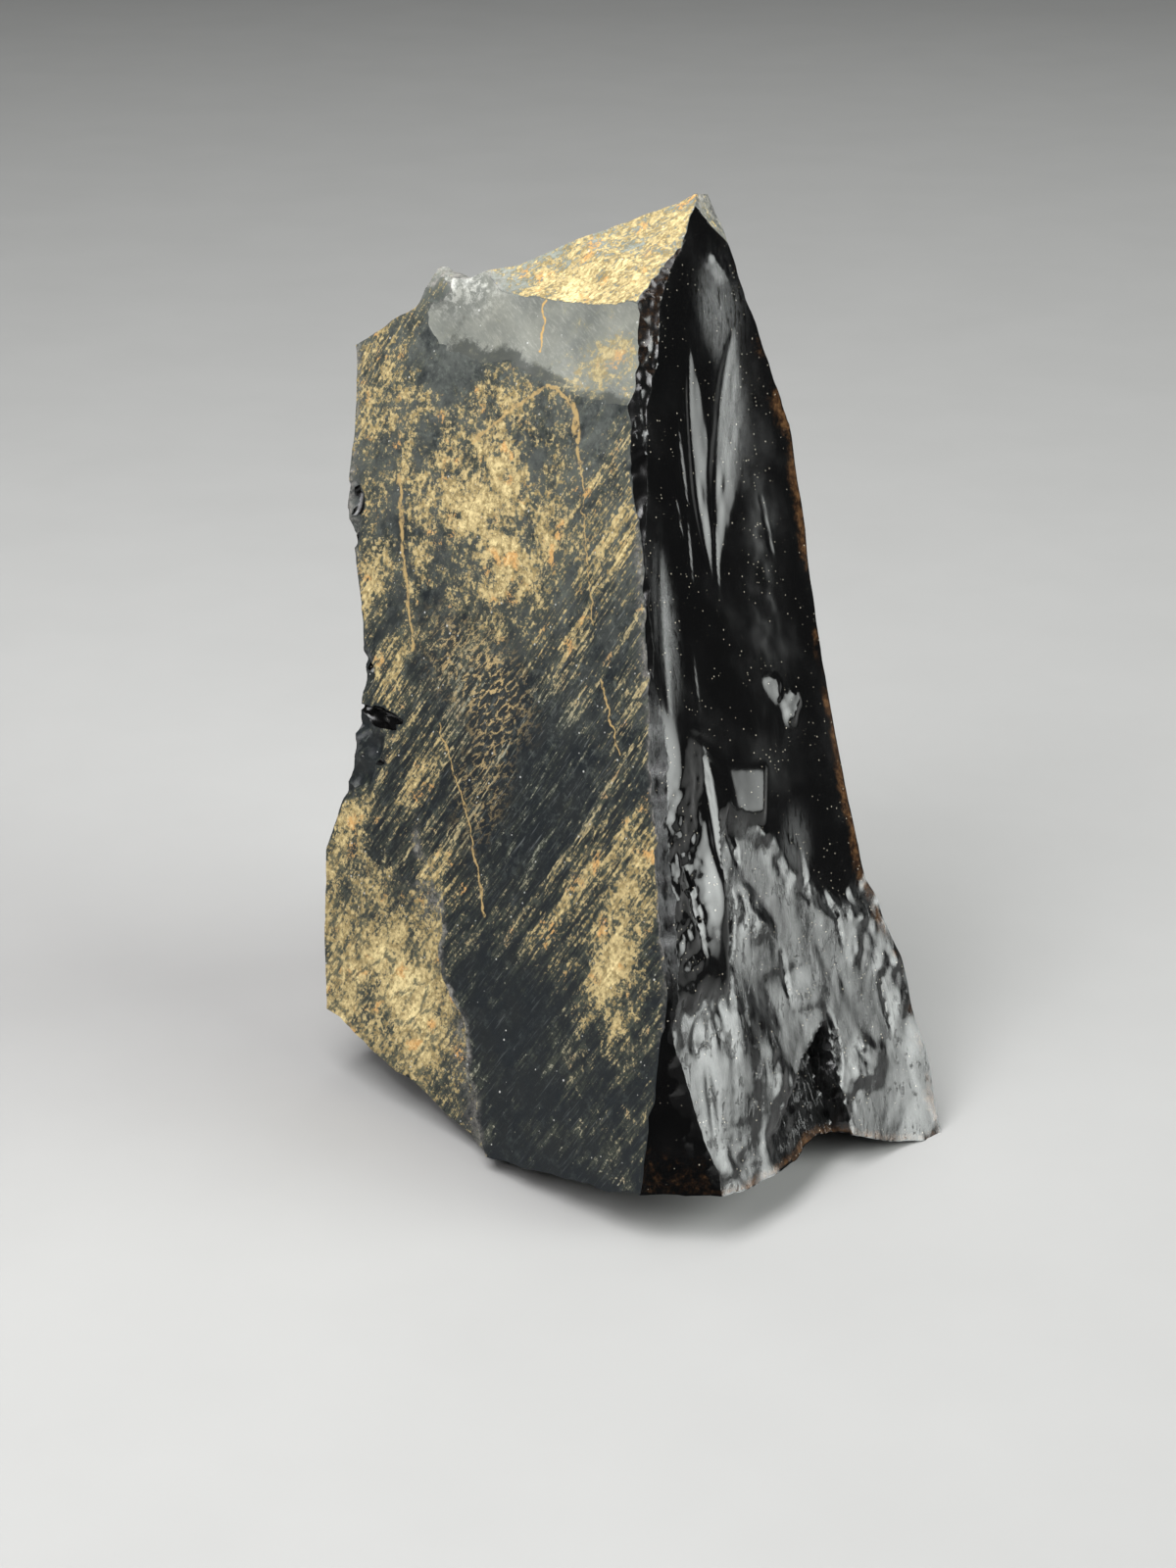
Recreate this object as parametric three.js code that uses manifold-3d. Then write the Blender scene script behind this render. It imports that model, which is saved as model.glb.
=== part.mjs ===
// A hand specimen of morion, the near-black variety of smoky quartz: the broken upper end of one
// crystal. One stained, striated prism face looks to the front left, a glassy conchoidal
// fracture to the front right, and a sloping termination face closes the top. The lower left of
// the prism face is spalled off along a ragged step, and the foot is broken off flat.
//
// Millimetres, +Z up, origin under the middle of the crystal at the height it rests on.

import * as THREE from 'three';
import { mergeVertices } from 'three/addons/utils/BufferGeometryUtils.js';
import Module from 'manifold-3d';

const wasm = await Module();
wasm.setup();

// ---- driving dimensions -------------------------------------------------------------------

const HEIGHT = 71.6; // from the ground to the tip
const BACK_DEPTH = 27.2; // how far the foot of the back stands behind the middle
const FRONT_FOOT = [0.3, -27.2, 3.7]; // low end of the edge between prism face and fracture
const LEFT_FOOT = [-25.1, 1.7, 5]; // low end of the left edge
const RIDGE_FOOT = [-11.7, -15.9, 1.2]; // where the spalled step meets the underside
const FRACTURE_MIDDLE = [10.15, -5.61, 32.45]; // a point of the fracture halfway up
const RIM_LOW = [19.4, -2.9, 19.8]; // the right rim, a quarter of the way up
const RIM_HIGH = [9.4, 13.1, 62.6]; // the right rim just under the tip
const CHAMFER_MIDDLE = [-5.8, 5.9, 61.6];
const TOP_OF_FRONT_EDGE = [1.4, 3.5, 65.6];
const TIP = [5.15, 12.2, HEIGHT];

const BLANK = 160; // side of the cube that the crystal is cut from
const LEDGE_TURN = -27; // the growth ledges lean this far from the prism face's own upright
const SPALL_TURN = 33; // and the edge of the spalled corner this far the other way
const SPALL_STEP = 1.1;
const SKIRT_TOP = -7; // height of the ridge above the hackly skirt, up the fracture

// ---- small maths --------------------------------------------------------------------------

const radians = (degrees) => degrees * Math.PI / 180;

function ease(from, to, x) {
  const t = Math.min(1, Math.max(0, (x - from) / (to - from)));
  return t * t * (3 - 2 * t);
}

// A repeatable number from 0 to 1 for a lattice point.
function hash(ix, iy, seed) {
  let n = Math.imul(ix, 374761393) + Math.imul(iy, 668265263) + Math.imul(seed, 974634777);
  n = Math.imul(n ^ (n >>> 13), 1274126177);
  return ((n ^ (n >>> 16)) >>> 0) / 4294967295;
}

// Smooth value noise from -1 to 1, with lumps one unit apart.
function noise(x, y, seed) {
  const ix = Math.floor(x);
  const iy = Math.floor(y);
  const fx = ease(0, 1, x - ix);
  const fy = ease(0, 1, y - iy);
  const low = hash(ix, iy, seed) * (1 - fx) + hash(ix + 1, iy, seed) * fx;
  const high = hash(ix, iy + 1, seed) * (1 - fx) + hash(ix + 1, iy + 1, seed) * fx;
  return 2 * (low * (1 - fy) + high * fy) - 1;
}

// Distance from a centre as a fraction of an ellipse's half axes, the ellipse turned by degrees.
function reach(u, v, [cu, cv], [halfU, halfV], turn) {
  const c = Math.cos(radians(turn));
  const s = Math.sin(radians(turn));
  const x = (u - cu) * c + (v - cv) * s;
  const y = (v - cv) * c - (u - cu) * s;
  return Math.hypot(x / halfU, y / halfV);
}

// A flake scar: a bowl with a sharp rim, the rim standing at a given height.
function bowl(u, v, centre, half, turn, depth, rim) {
  const r = reach(u, v, centre, half, turn);
  return rim + depth * (r * r - 1);
}

// A soft hollow that fades out at its ellipse; a negative depth makes it a swelling.
function hollow(u, v, centre, half, turn, depth) {
  const r = Math.min(1, reach(u, v, centre, half, turn));
  return -depth * (1 - r * r) ** 2;
}

// Conchoidal ripples round the point where the blow fell.
function ripples(u, v, [cu, cv], spacing, height) {
  return height * Math.cos(2 * Math.PI * Math.hypot(u - cu, v - cv) / spacing);
}

// ---- cutting ------------------------------------------------------------------------------

function solidOf(geometry) {
  const bare = geometry.clone();
  bare.deleteAttribute('normal');
  bare.deleteAttribute('uv');
  const merged = mergeVertices(bare, 1e-4);
  return new wasm.Manifold(new wasm.Mesh({
    numProp: 3,
    vertProperties: new Float32Array(merged.attributes.position.array),
    triVerts: new Uint32Array(merged.index.array),
  }));
}

// Carries a shape from face coordinates into the crystal. The face passes through a point, looks
// along an azimuth (0 is the front, 90 the right) and leans up by some degrees. u runs to the
// right along the face, v up it, and the third coordinate out of it.
function placeOnFace(geometry, { through, azimuth, lean }) {
  const a = radians(azimuth);
  const e = radians(lean);
  const normal = new THREE.Vector3(Math.sin(a) * Math.cos(e), -Math.cos(a) * Math.cos(e), Math.sin(e));
  const across = new THREE.Vector3(Math.cos(a), Math.sin(a), 0);
  const up = new THREE.Vector3().crossVectors(normal, across);
  return geometry.applyMatrix4(new THREE.Matrix4().makeBasis(across, up, normal).setPosition(...through));
}

// All that lies behind one face: a deep block whose top is a grid of facets at relief(u, v).
// turn rotates the grid, so that long ledges can follow its lines.
function behind(face, { cell = [2.4, 2.4], turn = 0, relief }) {
  const cells = cell.map((side) => Math.round(BLANK / side));
  const block = new THREE.BoxGeometry(BLANK, BLANK, BLANK, cells[0], cells[1], 1);
  block.translate(0, 0, -BLANK / 2);
  block.rotateZ(radians(turn));
  const points = block.attributes.position;
  for (let i = 0; i < points.count; i += 1) {
    if (points.getZ(i) > -1) {
      points.setZ(i, relief(points.getX(i), points.getY(i)));
    }
  }
  return solidOf(placeOnFace(block, face));
}

// ---- the stained prism face and the top ---------------------------------------------------

const PRISM = { through: FRONT_FOOT, azimuth: -45.6, lean: 17.35 };

// Growth ledges: long low steps side by side, each a shallow ramp and a short drop.
function ledges(u, v) {
  const t = radians(LEDGE_TURN);
  const place = (u * Math.cos(t) + v * Math.sin(t)) / 3.4;
  const step = Math.floor(place);
  return -0.3 * (place - step) * (0.4 + 0.6 * hash(step, 7, 5));
}

function prismFace() {
  const relief = (u, v) => ledges(u, v) + hollow(u, v, [-24, 26], [16, 34], 16, 0.5);
  return behind(PRISM, { cell: [0.85, 7], turn: LEDGE_TURN, relief });
}

// A smooth shallow flake between the prism face and the top.
function chamfer() {
  const relief = (u, v) => hollow(u, v, [4, -1], [18, 8], 0, 1.1) + ripples(u, v, [16, 8], 4.6, 0.1) + 0.4;
  return behind({ through: CHAMFER_MIDDLE, azimuth: -43.8, lean: 34.5 }, { relief });
}

// The sloping termination face, pitted where ochre crusts it.
function termination() {
  const relief = (u, v) => 0.3 * noise(u / 3.2, v / 3.2, 21) + hollow(u, v, [-6, 6], [9, 5], -20, 0.5);
  return behind({ through: TOP_OF_FRONT_EDGE, azimuth: -45.6, lean: 55.6 }, { cell: [2, 2], relief });
}

// Behind the tip the top falls away to the back left.
function topBack() {
  const relief = (u, v) => 0.3 * noise(u / 5, v / 5, 31)
    + hollow(u, v, [4, -20], [11, 8], 15, 1.4)
    + hollow(u, v, [12, -13], [5, 5], 0, -1);
  return behind({ through: TIP, azimuth: -144.7, lean: 58.4 }, { relief });
}

// ---- the glassy fracture ------------------------------------------------------------------

const FRACTURE = { through: FRACTURE_MIDDLE, azimuth: 52.6, lean: 21.8 };

function fractureRelief(u, v) {
  const skirt = ease(SKIRT_TOP, SKIRT_TOP - 10, v);
  let h = 0.5 + 0.01 * v;
  h += hollow(u, v, [5, 8], [8.5, 30], -20, 2.2); // the long smooth trough under the rim
  h += hollow(u, v, [6, 25], [3, 12], -22, 1.1); // the spear-shaped flute at its upper end
  h += hollow(u, v, [-10.5, -2], [2.6, 10], -8, -1.2); // the ridge beside the front edge
  h += skirt * (0.05 * (SKIRT_TOP - v) - 0.9);
  h += 2.0 * ease(-16, -36, v) * ease(-8, 8, u); // the toe flares out to the right
  h += ripples(u, v, [-8, 30], 5.2, 0.16 * (1 - skirt));
  h += skirt * (0.75 * noise(u / 4.2, v / 5.5, 41) + 0.35 * noise(u / 2, v / 3, 42));
  h = Math.min(h, bowl(u, v, [-14.8, -11], [4.4, 6.5], -20, 1.3, 0.2)); // spall beside the edge
  h = Math.min(h, bowl(u, v, [-2.7, -6], [5.5, 7], 10, 1.5, 0.1)); // flake over the skirt
  return Math.min(h, bowl(u, v, [5.5, -21], [6.5, 7.5], -30, 1.6, 1.0)); // flake under the rim
}

function fracture() {
  return behind(FRACTURE, { cell: [1.5, 1.7], relief: fractureRelief });
}

// The front edge is broken back at its foot into a steep dark triangle.
function footTriangle() {
  const relief = (u, v) => hollow(u, v, [1, -8], [5, 8], 0, 0.35);
  return behind({ through: [2.4, -24.3, 15], azimuth: -2, lean: 14.4 }, { relief });
}

// Its upper end is bruised into a narrow rough bevel.
function bruisedEdge() {
  const relief = (u, v) => 0.4 * noise(u / 1.7, v / 2.4, 51);
  return behind({ through: [0.4, -3.2, 57.3], azimuth: 6, lean: 29 }, { cell: [1.4, 1.7], relief });
}

// A small flat knocked off the right of the tip.
function tipFlat() {
  const relief = () => 0;
  return behind({ through: [5.3, 11.4, 70.8], azimuth: 38, lean: 40 }, { cell: [10, 10], relief });
}

// ---- the back -----------------------------------------------------------------------------

// Behind the left edge lies an old break with flakes off it, which give the edge its waist.
function leftBack() {
  const relief = (u, v) => Math.min(
    0.2 + 0.25 * noise(u / 6, v / 6, 61),
    bowl(u, v, [-8, 27], [17, 15], 0, 3.7, 0.4) + ripples(u, v, [-24, 40], 5, 0.12),
    bowl(u, v, [-22, 8], [15, 12], 20, 2.4, 0.8),
    bowl(u, v, [-20, 47], [13, 9], 0, 1.3, 0.3),
  );
  return behind({ through: LEFT_FOOT, azimuth: -121.8, lean: -8.7 }, { relief });
}

// The right side behind the rim: a broad conchoidal break, rippled from a blow near its top.
function rightBack() {
  const relief = (u, v) => 3.5 * ease(-2, -14, v) * ease(16, -4, u)
    + 0.2 * noise(u / 6, v / 6, 71)
    + hollow(u, v, [17, 4], [15, 26], 0, 2.4)
    + ripples(u, v, [20, 36], 5.6, 0.2);
  return behind({ through: RIM_LOW, azimuth: 115, lean: 0 }, { relief });
}

function rightShoulder() {
  const relief = (u, v) => 0.3 * noise(u / 5, v / 5, 81);
  return behind({ through: RIM_HIGH, azimuth: 100, lean: 19 }, { relief });
}

// The back is a second prism face, half of it carried away by one large flake.
function back() {
  const relief = (u, v) => {
    const place = v / 5 + 0.3 * noise(0.5, u / 12, 91);
    const flake = bowl(u, v, [4, 20], [17, 24], 10, 3.4, 0) + ripples(u, v, [8, 46], 5.2, 0.18);
    return Math.min(-0.35 * (place - Math.floor(place)), flake);
  };
  return behind({ through: [0, BACK_DEPTH, 2], azimuth: 178, lean: 4.5 }, { relief });
}

// ---- the underside ------------------------------------------------------------------------

function frontUnderside() {
  const relief = (u, v) => hollow(u, v, [11, -9], [10, 10], 0, 1.9) + 0.25 * noise(u / 3.5, v / 3.5, 101);
  return behind({ through: [4.2, -26.5, 3.6], azimuth: 1, lean: -76.5 }, { relief });
}

function leftUnderside() {
  const relief = (u, v) => 0.4 * noise(u / 4, v / 4, 111);
  return behind({ through: RIDGE_FOOT, azimuth: -72, lean: -60.4 }, { relief });
}

function backUnderside() {
  const relief = (u, v) => 0.4 * noise(u / 4, v / 4, 121);
  return behind({ through: [0, BACK_DEPTH - 4, 0], azimuth: 172, lean: -58 }, { relief });
}

function restingFace() {
  const relief = () => 0;
  return behind({ through: [0, 0, 0], azimuth: 0, lean: -90 }, { cell: [BLANK, BLANK], relief });
}

// ---- what is taken off after the faces ----------------------------------------------------

// The lower left of the prism face has spalled off down to a rough crusted surface, which rises
// to the face again at its upper end.
function spalledCorner() {
  const slab = new THREE.BoxGeometry(30, 46, 30, 12, 19, 1);
  slab.translate(-15, 8, 15);
  const points = slab.attributes.position;
  for (let i = 0; i < points.count; i += 1) {
    const across = points.getX(i);
    const along = points.getY(i);
    if (points.getZ(i) < 1) {
      const fade = ease(29, 15, along);
      points.setZ(i, 0.4 - fade * (0.4 + SPALL_STEP) + 0.03 * across + 0.3 * noise(across / 5, along / 5, 11));
    }
    if (across > -1) {
      points.setX(i, 0.9 * noise(along / 3, 0.5, 12));
    }
  }
  slab.rotateZ(radians(SPALL_TURN));
  slab.translate(-16.8, -2, 0);
  return solidOf(placeOnFace(slab, PRISM));
}

// Angular nicks along the left edge, each a place on the prism face, a radius and its stretch
// across the face, up it and into it.
const NICKS = [
  { at: [-46.6, 44.6], radius: 1.6, stretch: [1, 0.9, 0.7] },
  { at: [-41.6, 30.4], radius: 2.2, stretch: [1, 1.4, 0.8] },
  { at: [-37.6, 27.6], radius: 2.0, stretch: [1.4, 0.8, 0.5] },
  { at: [-39.4, 22.6], radius: 1.7, stretch: [1, 1.3, 0.8] },
];

function nick({ at, radius, stretch }) {
  const chip = new THREE.IcosahedronGeometry(radius, 0);
  chip.rotateX(at[1]);
  chip.scale(...stretch);
  chip.translate(...at, 0);
  return solidOf(placeOnFace(chip, PRISM));
}

// ---- the crystal --------------------------------------------------------------------------

const FACES = [
  prismFace, chamfer, termination, topBack, tipFlat,
  fracture, footTriangle, bruisedEdge,
  leftBack, rightBack, rightShoulder, back,
  frontUnderside, leftUnderside, backUnderside,
];

function crystalGeometry() {
  let solid = restingFace();
  for (const face of FACES) {
    solid = solid.intersect(face());
  }
  solid = solid.subtract(spalledCorner());
  for (const place of NICKS) {
    solid = solid.subtract(nick(place));
  }
  const mesh = solid.getMesh();
  const geometry = new THREE.BufferGeometry();
  geometry.setAttribute('position', new THREE.BufferAttribute(mesh.vertProperties, 3));
  geometry.setIndex(new THREE.BufferAttribute(mesh.triVerts, 1));
  return geometry;
}

function centred(geometry) {
  geometry.computeBoundingBox();
  const { min, max } = geometry.boundingBox;
  return geometry.translate(-(min.x + max.x) / 2, -(min.y + max.y) / 2, -min.z);
}

const morion = new THREE.MeshStandardMaterial({ color: 0x14171a, roughness: 0.2, metalness: 0 });
const crystal = new THREE.Mesh(centred(crystalGeometry()), morion);
crystal.name = 'morion_crystal';

const specimen = new THREE.Group();
specimen.add(crystal);

export default specimen;
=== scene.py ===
# %% [markdown]
# # A morion crystal, broken out face by face
#
# Morion is smoky quartz so dark that it looks black, and only its thinnest edges let brown light
# through. This specimen is the broken end of one crystal. It has two kinds of surface, and the
# whole lesson follows from them: flat old crystal faces, dull slate grey and stained with iron
# ochre, and fresh fractures, glassy and curved like the inside of a shell.
#
# The stone is worked here the way it came to be. A rough block is trimmed, and then each face is
# broken off it as one sheet of waste whose inner side carries that face's relief. Where two
# sheets meet they leave a true broken edge, sharp and a little ragged, which no bevel gives.

# %% Load the measured model
import math

import bpy
import numpy as np
from mathutils import Matrix, Vector


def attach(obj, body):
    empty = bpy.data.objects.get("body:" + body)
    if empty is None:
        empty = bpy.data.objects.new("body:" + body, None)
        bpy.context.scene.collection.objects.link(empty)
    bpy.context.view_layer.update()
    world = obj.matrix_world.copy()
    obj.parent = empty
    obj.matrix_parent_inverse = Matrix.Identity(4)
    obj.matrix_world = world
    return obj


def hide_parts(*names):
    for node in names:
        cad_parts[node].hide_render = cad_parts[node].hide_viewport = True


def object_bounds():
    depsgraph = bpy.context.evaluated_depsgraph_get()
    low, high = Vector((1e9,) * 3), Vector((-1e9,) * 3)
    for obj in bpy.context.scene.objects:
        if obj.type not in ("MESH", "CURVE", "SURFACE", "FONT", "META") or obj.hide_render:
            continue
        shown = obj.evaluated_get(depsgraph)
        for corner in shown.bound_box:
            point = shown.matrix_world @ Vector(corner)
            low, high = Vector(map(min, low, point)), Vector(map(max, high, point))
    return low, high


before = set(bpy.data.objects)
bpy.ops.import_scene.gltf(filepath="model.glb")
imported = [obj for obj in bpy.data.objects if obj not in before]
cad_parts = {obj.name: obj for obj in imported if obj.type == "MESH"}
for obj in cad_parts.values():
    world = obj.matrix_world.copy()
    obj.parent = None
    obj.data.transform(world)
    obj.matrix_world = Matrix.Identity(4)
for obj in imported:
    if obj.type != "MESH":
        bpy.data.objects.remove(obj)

MM = 0.001
NODE = "morion_crystal"
cad_low, cad_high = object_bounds()
HEIGHT = (cad_high.z - cad_low.z) / MM
print("the crystal stands", round(HEIGHT, 1), "mm tall")

# %% [markdown]
# ## The camera
#
# The camera looks down on the standing crystal at 22 degrees through a long lens, from far enough
# away that the upright edges stay nearly parallel. It comes first, so that every later choice
# can be judged through it. The helper that finds its direction also serves the faces and lights.

# %% Place the camera
PITCH = 22
AIM = Vector((-3.96, 0.27, 26.3)) * MM
CAMERA_DISTANCE = 253.1 * MM


def facing(azimuth, lean):
    """The direction that looks to an azimuth, 0 the front and 90 the right, and up by the lean."""
    a, e = math.radians(azimuth), math.radians(lean)
    return Vector((math.sin(a) * math.cos(e), -math.cos(a) * math.cos(e), math.sin(e)))


bpy.ops.object.camera_add(
    location=AIM + facing(0, PITCH) * CAMERA_DISTANCE,
    rotation=(math.radians(90 - PITCH), 0, 0),
)
camera = bpy.context.object
camera.data.lens = 72
camera.data.clip_start = 0.01
bpy.context.scene.camera = camera
print("camera at", [round(c, 3) for c in camera.location])

# %% [markdown]
# ## How stone breaks, as numbers
#
# No brush or modifier knows how quartz breaks, so the relief of a face is worked out as a height
# for each point of a fine sheet, in the face's own millimetres. All roughness starts from noise
# that is the same on every run: grit adds ever finer layers of it, and crumple folds each layer
# upward, which parts smooth swellings by sharp creases, as torn quartz has them.

# %% Noise
STIR_X, STIR_Y, STIR_SEED, STIR_AGAIN = 374761393, 668265263, 974634777, 1274126177
WORD = 0xFFFFFFFF  # the largest whole number of 32 bits
LAYER_TURN, FIRST_TURN = 37, 11  # degrees


def ease(start, end, x):
    """0 at the start, 1 at the end, and a soft ramp between."""
    t = np.clip((x - start) / (end - start), 0, 1)
    return t * t * (3 - 2 * t)


def lattice(ix, iy, seed):
    """A repeatable number from 0 to 1 for each lattice point, stirred with large odd numbers."""
    n = (ix.astype(np.int64) * STIR_X + iy.astype(np.int64) * STIR_Y + seed * STIR_SEED) & WORD
    n = ((n ^ (n >> 13)) * STIR_AGAIN) & WORD
    return (n ^ (n >> 16)) / WORD


def noise(x, y, seed):
    """Smooth lumps from -1 to 1, one unit apart."""
    ix, iy = np.floor(x), np.floor(y)
    fx, fy = ease(0, 1, x - ix), ease(0, 1, y - iy)
    low = lattice(ix, iy, seed) * (1 - fx) + lattice(ix + 1, iy, seed) * fx
    high = lattice(ix, iy + 1, seed) * (1 - fx) + lattice(ix + 1, iy + 1, seed) * fx
    return 2 * (low * (1 - fy) + high * fy) - 1


def turned(u, v, degrees):
    """The same place read on axes that are turned anticlockwise."""
    c, s = math.cos(math.radians(degrees)), math.sin(math.radians(degrees))
    return u * c + v * s, v * c - u * s


def grit(u, v, size, seed, octaves=4, folded=False):
    """Noise on noise, each layer half the size and turned, so that no grid shows."""
    total, strength = 0, 1
    for octave in range(octaves):
        x, y = turned(u, v, LAYER_TURN * octave + FIRST_TURN)
        layer = noise(x / size, y / size, seed + octave)
        total = total + strength * (np.abs(layer) if folded else layer)
        size, strength = size / 2, strength / 2
    return total


def crumple(u, v, size, seed, octaves=4):
    """Grit with each layer folded upward."""
    return grit(u, v, size, seed, octaves, folded=True)


def crooked(along):
    """How far a crooked line strays to the side as it runs along."""
    return grit(along * 0 + 0.5, along, 3, 12)


# %% [markdown]
# ## The marks of a blow
#
# A hollow is a soft dip. A bowl is a flake scar: it has a hard rim, because the lowest of two
# surfaces wins where they cross. Ripples run round the point where a blow fell, and flakes are
# many small scars side by side. Textures on a Displace modifier could make the dips, but they
# can't be compared with each other, and a rim is nothing else than that comparison.

# %% Hollows, bowls, ripples and flakes
def reach(u, v, centre, half, turn=0):
    """Distance from a centre, as a fraction of an ellipse's half axes."""
    x, y = turned(u - centre[0], v - centre[1], turn)
    return np.hypot(x / half[0], y / half[1])


def patch(u, v, centre, half, turn=0):
    """1 in the middle of an ellipse, fading softly to 0 at its edge."""
    return (1 - np.minimum(1, reach(u, v, centre, half, turn)) ** 2) ** 2


def patches(u, v, rows):
    """Soft patches added up; a row gives strength, centre, half axes and turn."""
    total = 0 * u
    for strength, centre, half, turn in rows:
        total = total + strength * patch(u, v, centre, half, turn)
    return total


def hollow(u, v, centre, half, turn, depth):
    """A soft dip, or with a negative depth a swelling."""
    return -depth * patch(u, v, centre, half, turn)


def dented(h, u, v, rows):
    """The relief h with a hollow for each row added."""
    for row in rows:
        h = h + hollow(u, v, *row)
    return h


def bowl(u, v, centre, half, turn, depth, rim):
    """A round scar whose edge lies at the height of the rim."""
    return rim + depth * (reach(u, v, centre, half, turn) ** 2 - 1)


def ripples(u, v, centre, spacing, height):
    """Rings round a centre, like those on a shell."""
    return height * np.cos(2 * math.pi * np.hypot(u - centre[0], v - centre[1]) / spacing)


def flakes(u, v, size, depth, seed):
    """Small flake scars side by side, one in each square of a shaken net, with crests between."""
    x, y = u / size[0], v / size[1]
    ix, iy = np.floor(x), np.floor(y)
    best = np.full_like(x, 9.0)
    for dx in (-1, 0, 1):
        for dy in (-1, 0, 1):
            jx, jy = ix + dx, iy + dy
            away = np.hypot(x - jx - lattice(jx, jy, seed), y - jy - lattice(jx, jy, seed + 1))
            best = np.minimum(best, away ** 2 + 0.5 * lattice(jx, jy, seed + 2))
    return depth * (best - 0.4)


# %% [markdown]
# ## The marks of a tear
#
# Where a break in glass runs on, it leaves longer marks. A flute is a narrow pointed scar with
# one steep wall, so it shines on one side only. A facet is a small flat that rises from its left
# side and ends in a sharp drop.

# %% Flutes and facets
def flute(u, v, foot, tip, width, depth):
    """A scar from foot to tip, its wall on the left, or with a negative width on the right."""
    if width < 0:
        return flute(-u, v, (-foot[0], foot[1]), (-tip[0], tip[1]), -width, depth)
    du, dv = tip[0] - foot[0], tip[1] - foot[1]
    length = math.hypot(du, dv)
    along = np.clip(((u - foot[0]) * du + (v - foot[1]) * dv) / length ** 2, 0, 1)
    across = ((u - foot[0]) * dv - (v - foot[1]) * du) / length
    lens = 4 * along * (1 - along)
    x = across / (width * lens + 0.001) + 0.12 * noise(across / 0.5, along * length / 2.2, 21)
    wall = ease(-1, -0.25, x)
    return np.where((lens > 0) & (np.abs(x) < 1), -depth * lens * (0.5 - 0.5 * x) ** 1.5 * wall, 0)


def facet(u, v, centre, half, turn, lean):
    """A small flat, narrower below, that leans by the given rise per millimetre."""
    x, y = turned(u - centre[0], v - centre[1], turn)
    x, y = x / (half[0] * (1 + 0.3 * y / half[1])), y / half[1]
    inside = (x > -1) * ease(1, 0.8, x) * ease(1, 0.85, y) * ease(-1, -0.4, y)
    return lean * half[0] * (x + 1) * inside


# %% [markdown]
# ## The rough block
#
# Every face is described the same way: a point that it passes through in millimetres, the way it
# looks and how far it leans back. The spall and the chips are broken out of the prism face, so
# they share its plane. The first step is a plain cube, bisected a little outside each face. This
# could also be a convex hull of guessed corners, but planes are easier to reason about, because
# a crystal is made of them.

# %% Name the faces
PRISM_PLANE = dict(through=(-0.31, -26.93, 3.7), azimuth=-45.6, lean=17.35)
FACES = {
    "prism": PRISM_PLANE,
    "spall": PRISM_PLANE,
    "chamfer": dict(through=(-6.41, 6.17, 61.6), azimuth=-43.8, lean=34.5),
    "termination": dict(through=(0.79, 3.77, 65.6), azimuth=-45.6, lean=55.6),
    "top_back": dict(through=(4.54, 12.47, 71.6), azimuth=-144.7, lean=58.4),
    "tip_flat": dict(through=(5.36, 12.0, 70.05), azimuth=67, lean=28.5),
    "fracture": dict(through=(9.54, -5.34, 32.45), azimuth=52.6, lean=21.8),
    "foot_triangle": dict(through=(1.79, -24.03, 15), azimuth=-2, lean=14.4),
    "bruise": dict(through=(0.79, 3.77, 65.6), azimuth=12, lean=25.7),
    "front_edge": dict(through=(0.2, -11.3, 34.6), azimuth=3, lean=26.4),
    "left_back": dict(through=(-25.71, 1.97, 5), azimuth=-121.8, lean=-8.7),
    "right_back": dict(through=(18.7, -2.63, 19.8), azimuth=115, lean=0),
    "right_shoulder": dict(through=(8.6, 13.37, 62.6), azimuth=100, lean=19),
    "back": dict(through=(-0.61, 27.47, 2), azimuth=178, lean=4.5),
    "front_underside": dict(through=(3.59, -26.23, 3.6), azimuth=1, lean=-76.5),
    "left_underside": dict(through=(-12.31, -15.63, 1.2), azimuth=-72, lean=-60.4),
    "back_underside": dict(through=(-0.61, 23.47, 0), azimuth=172, lean=-58),
    "rest": dict(through=(0, 0, 0), azimuth=0, lean=-90),
    "chips": PRISM_PLANE,
}
FACE_NUMBER = {name: number for number, name in enumerate(FACES)}
print("the crystal has", len(FACES), "kinds of surface")


def face_matrix(name):
    """From a face's own millimetres (right, up, out) to the crystal's metres."""
    face = FACES[name]
    out = facing(face["azimuth"], face["lean"])
    right = facing(face["azimuth"] + 90, 0)
    turn = Matrix((right, out.cross(right), out)).transposed().to_4x4()
    return Matrix.Translation(Vector(face["through"]) * MM) @ turn @ Matrix.Scale(MM, 4)


# %% Trim the rough block
BLOCK_SIZE = 120  # millimetres; its base is the flat that the crystal rests on
ALLOWANCE = 2.5  # millimetres of stone left outside each face
NOT_TRIMMED = ("spall", "bruise", "front_edge", "rest", "chips")  # the base, and what cuts edges

bpy.ops.object.select_all(action="DESELECT")
bpy.ops.mesh.primitive_cube_add(size=BLOCK_SIZE * MM, location=(0, 0, BLOCK_SIZE / 2 * MM))
stone = bpy.context.object
stone.name = "morion_stone"
bpy.ops.object.transform_apply(location=True, rotation=False, scale=False)
for name in FACES:
    stone.data.materials.append(None)
    if name in NOT_TRIMMED:
        continue
    matrix = face_matrix(name)
    out = matrix.to_3x3().col[2].normalized()
    place = matrix.translation + out * ALLOWANCE * MM
    bpy.ops.object.mode_set(mode="EDIT")
    bpy.ops.mesh.select_all(action="SELECT")
    bpy.ops.mesh.bisect(plane_co=place, plane_no=out, use_fill=True, clear_outer=True)
    bpy.ops.object.mode_set(mode="OBJECT")
for side in stone.data.polygons:
    side.material_index = FACE_NUMBER["rest"]
print("the rough block has", len(stone.data.polygons), "sides")

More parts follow.
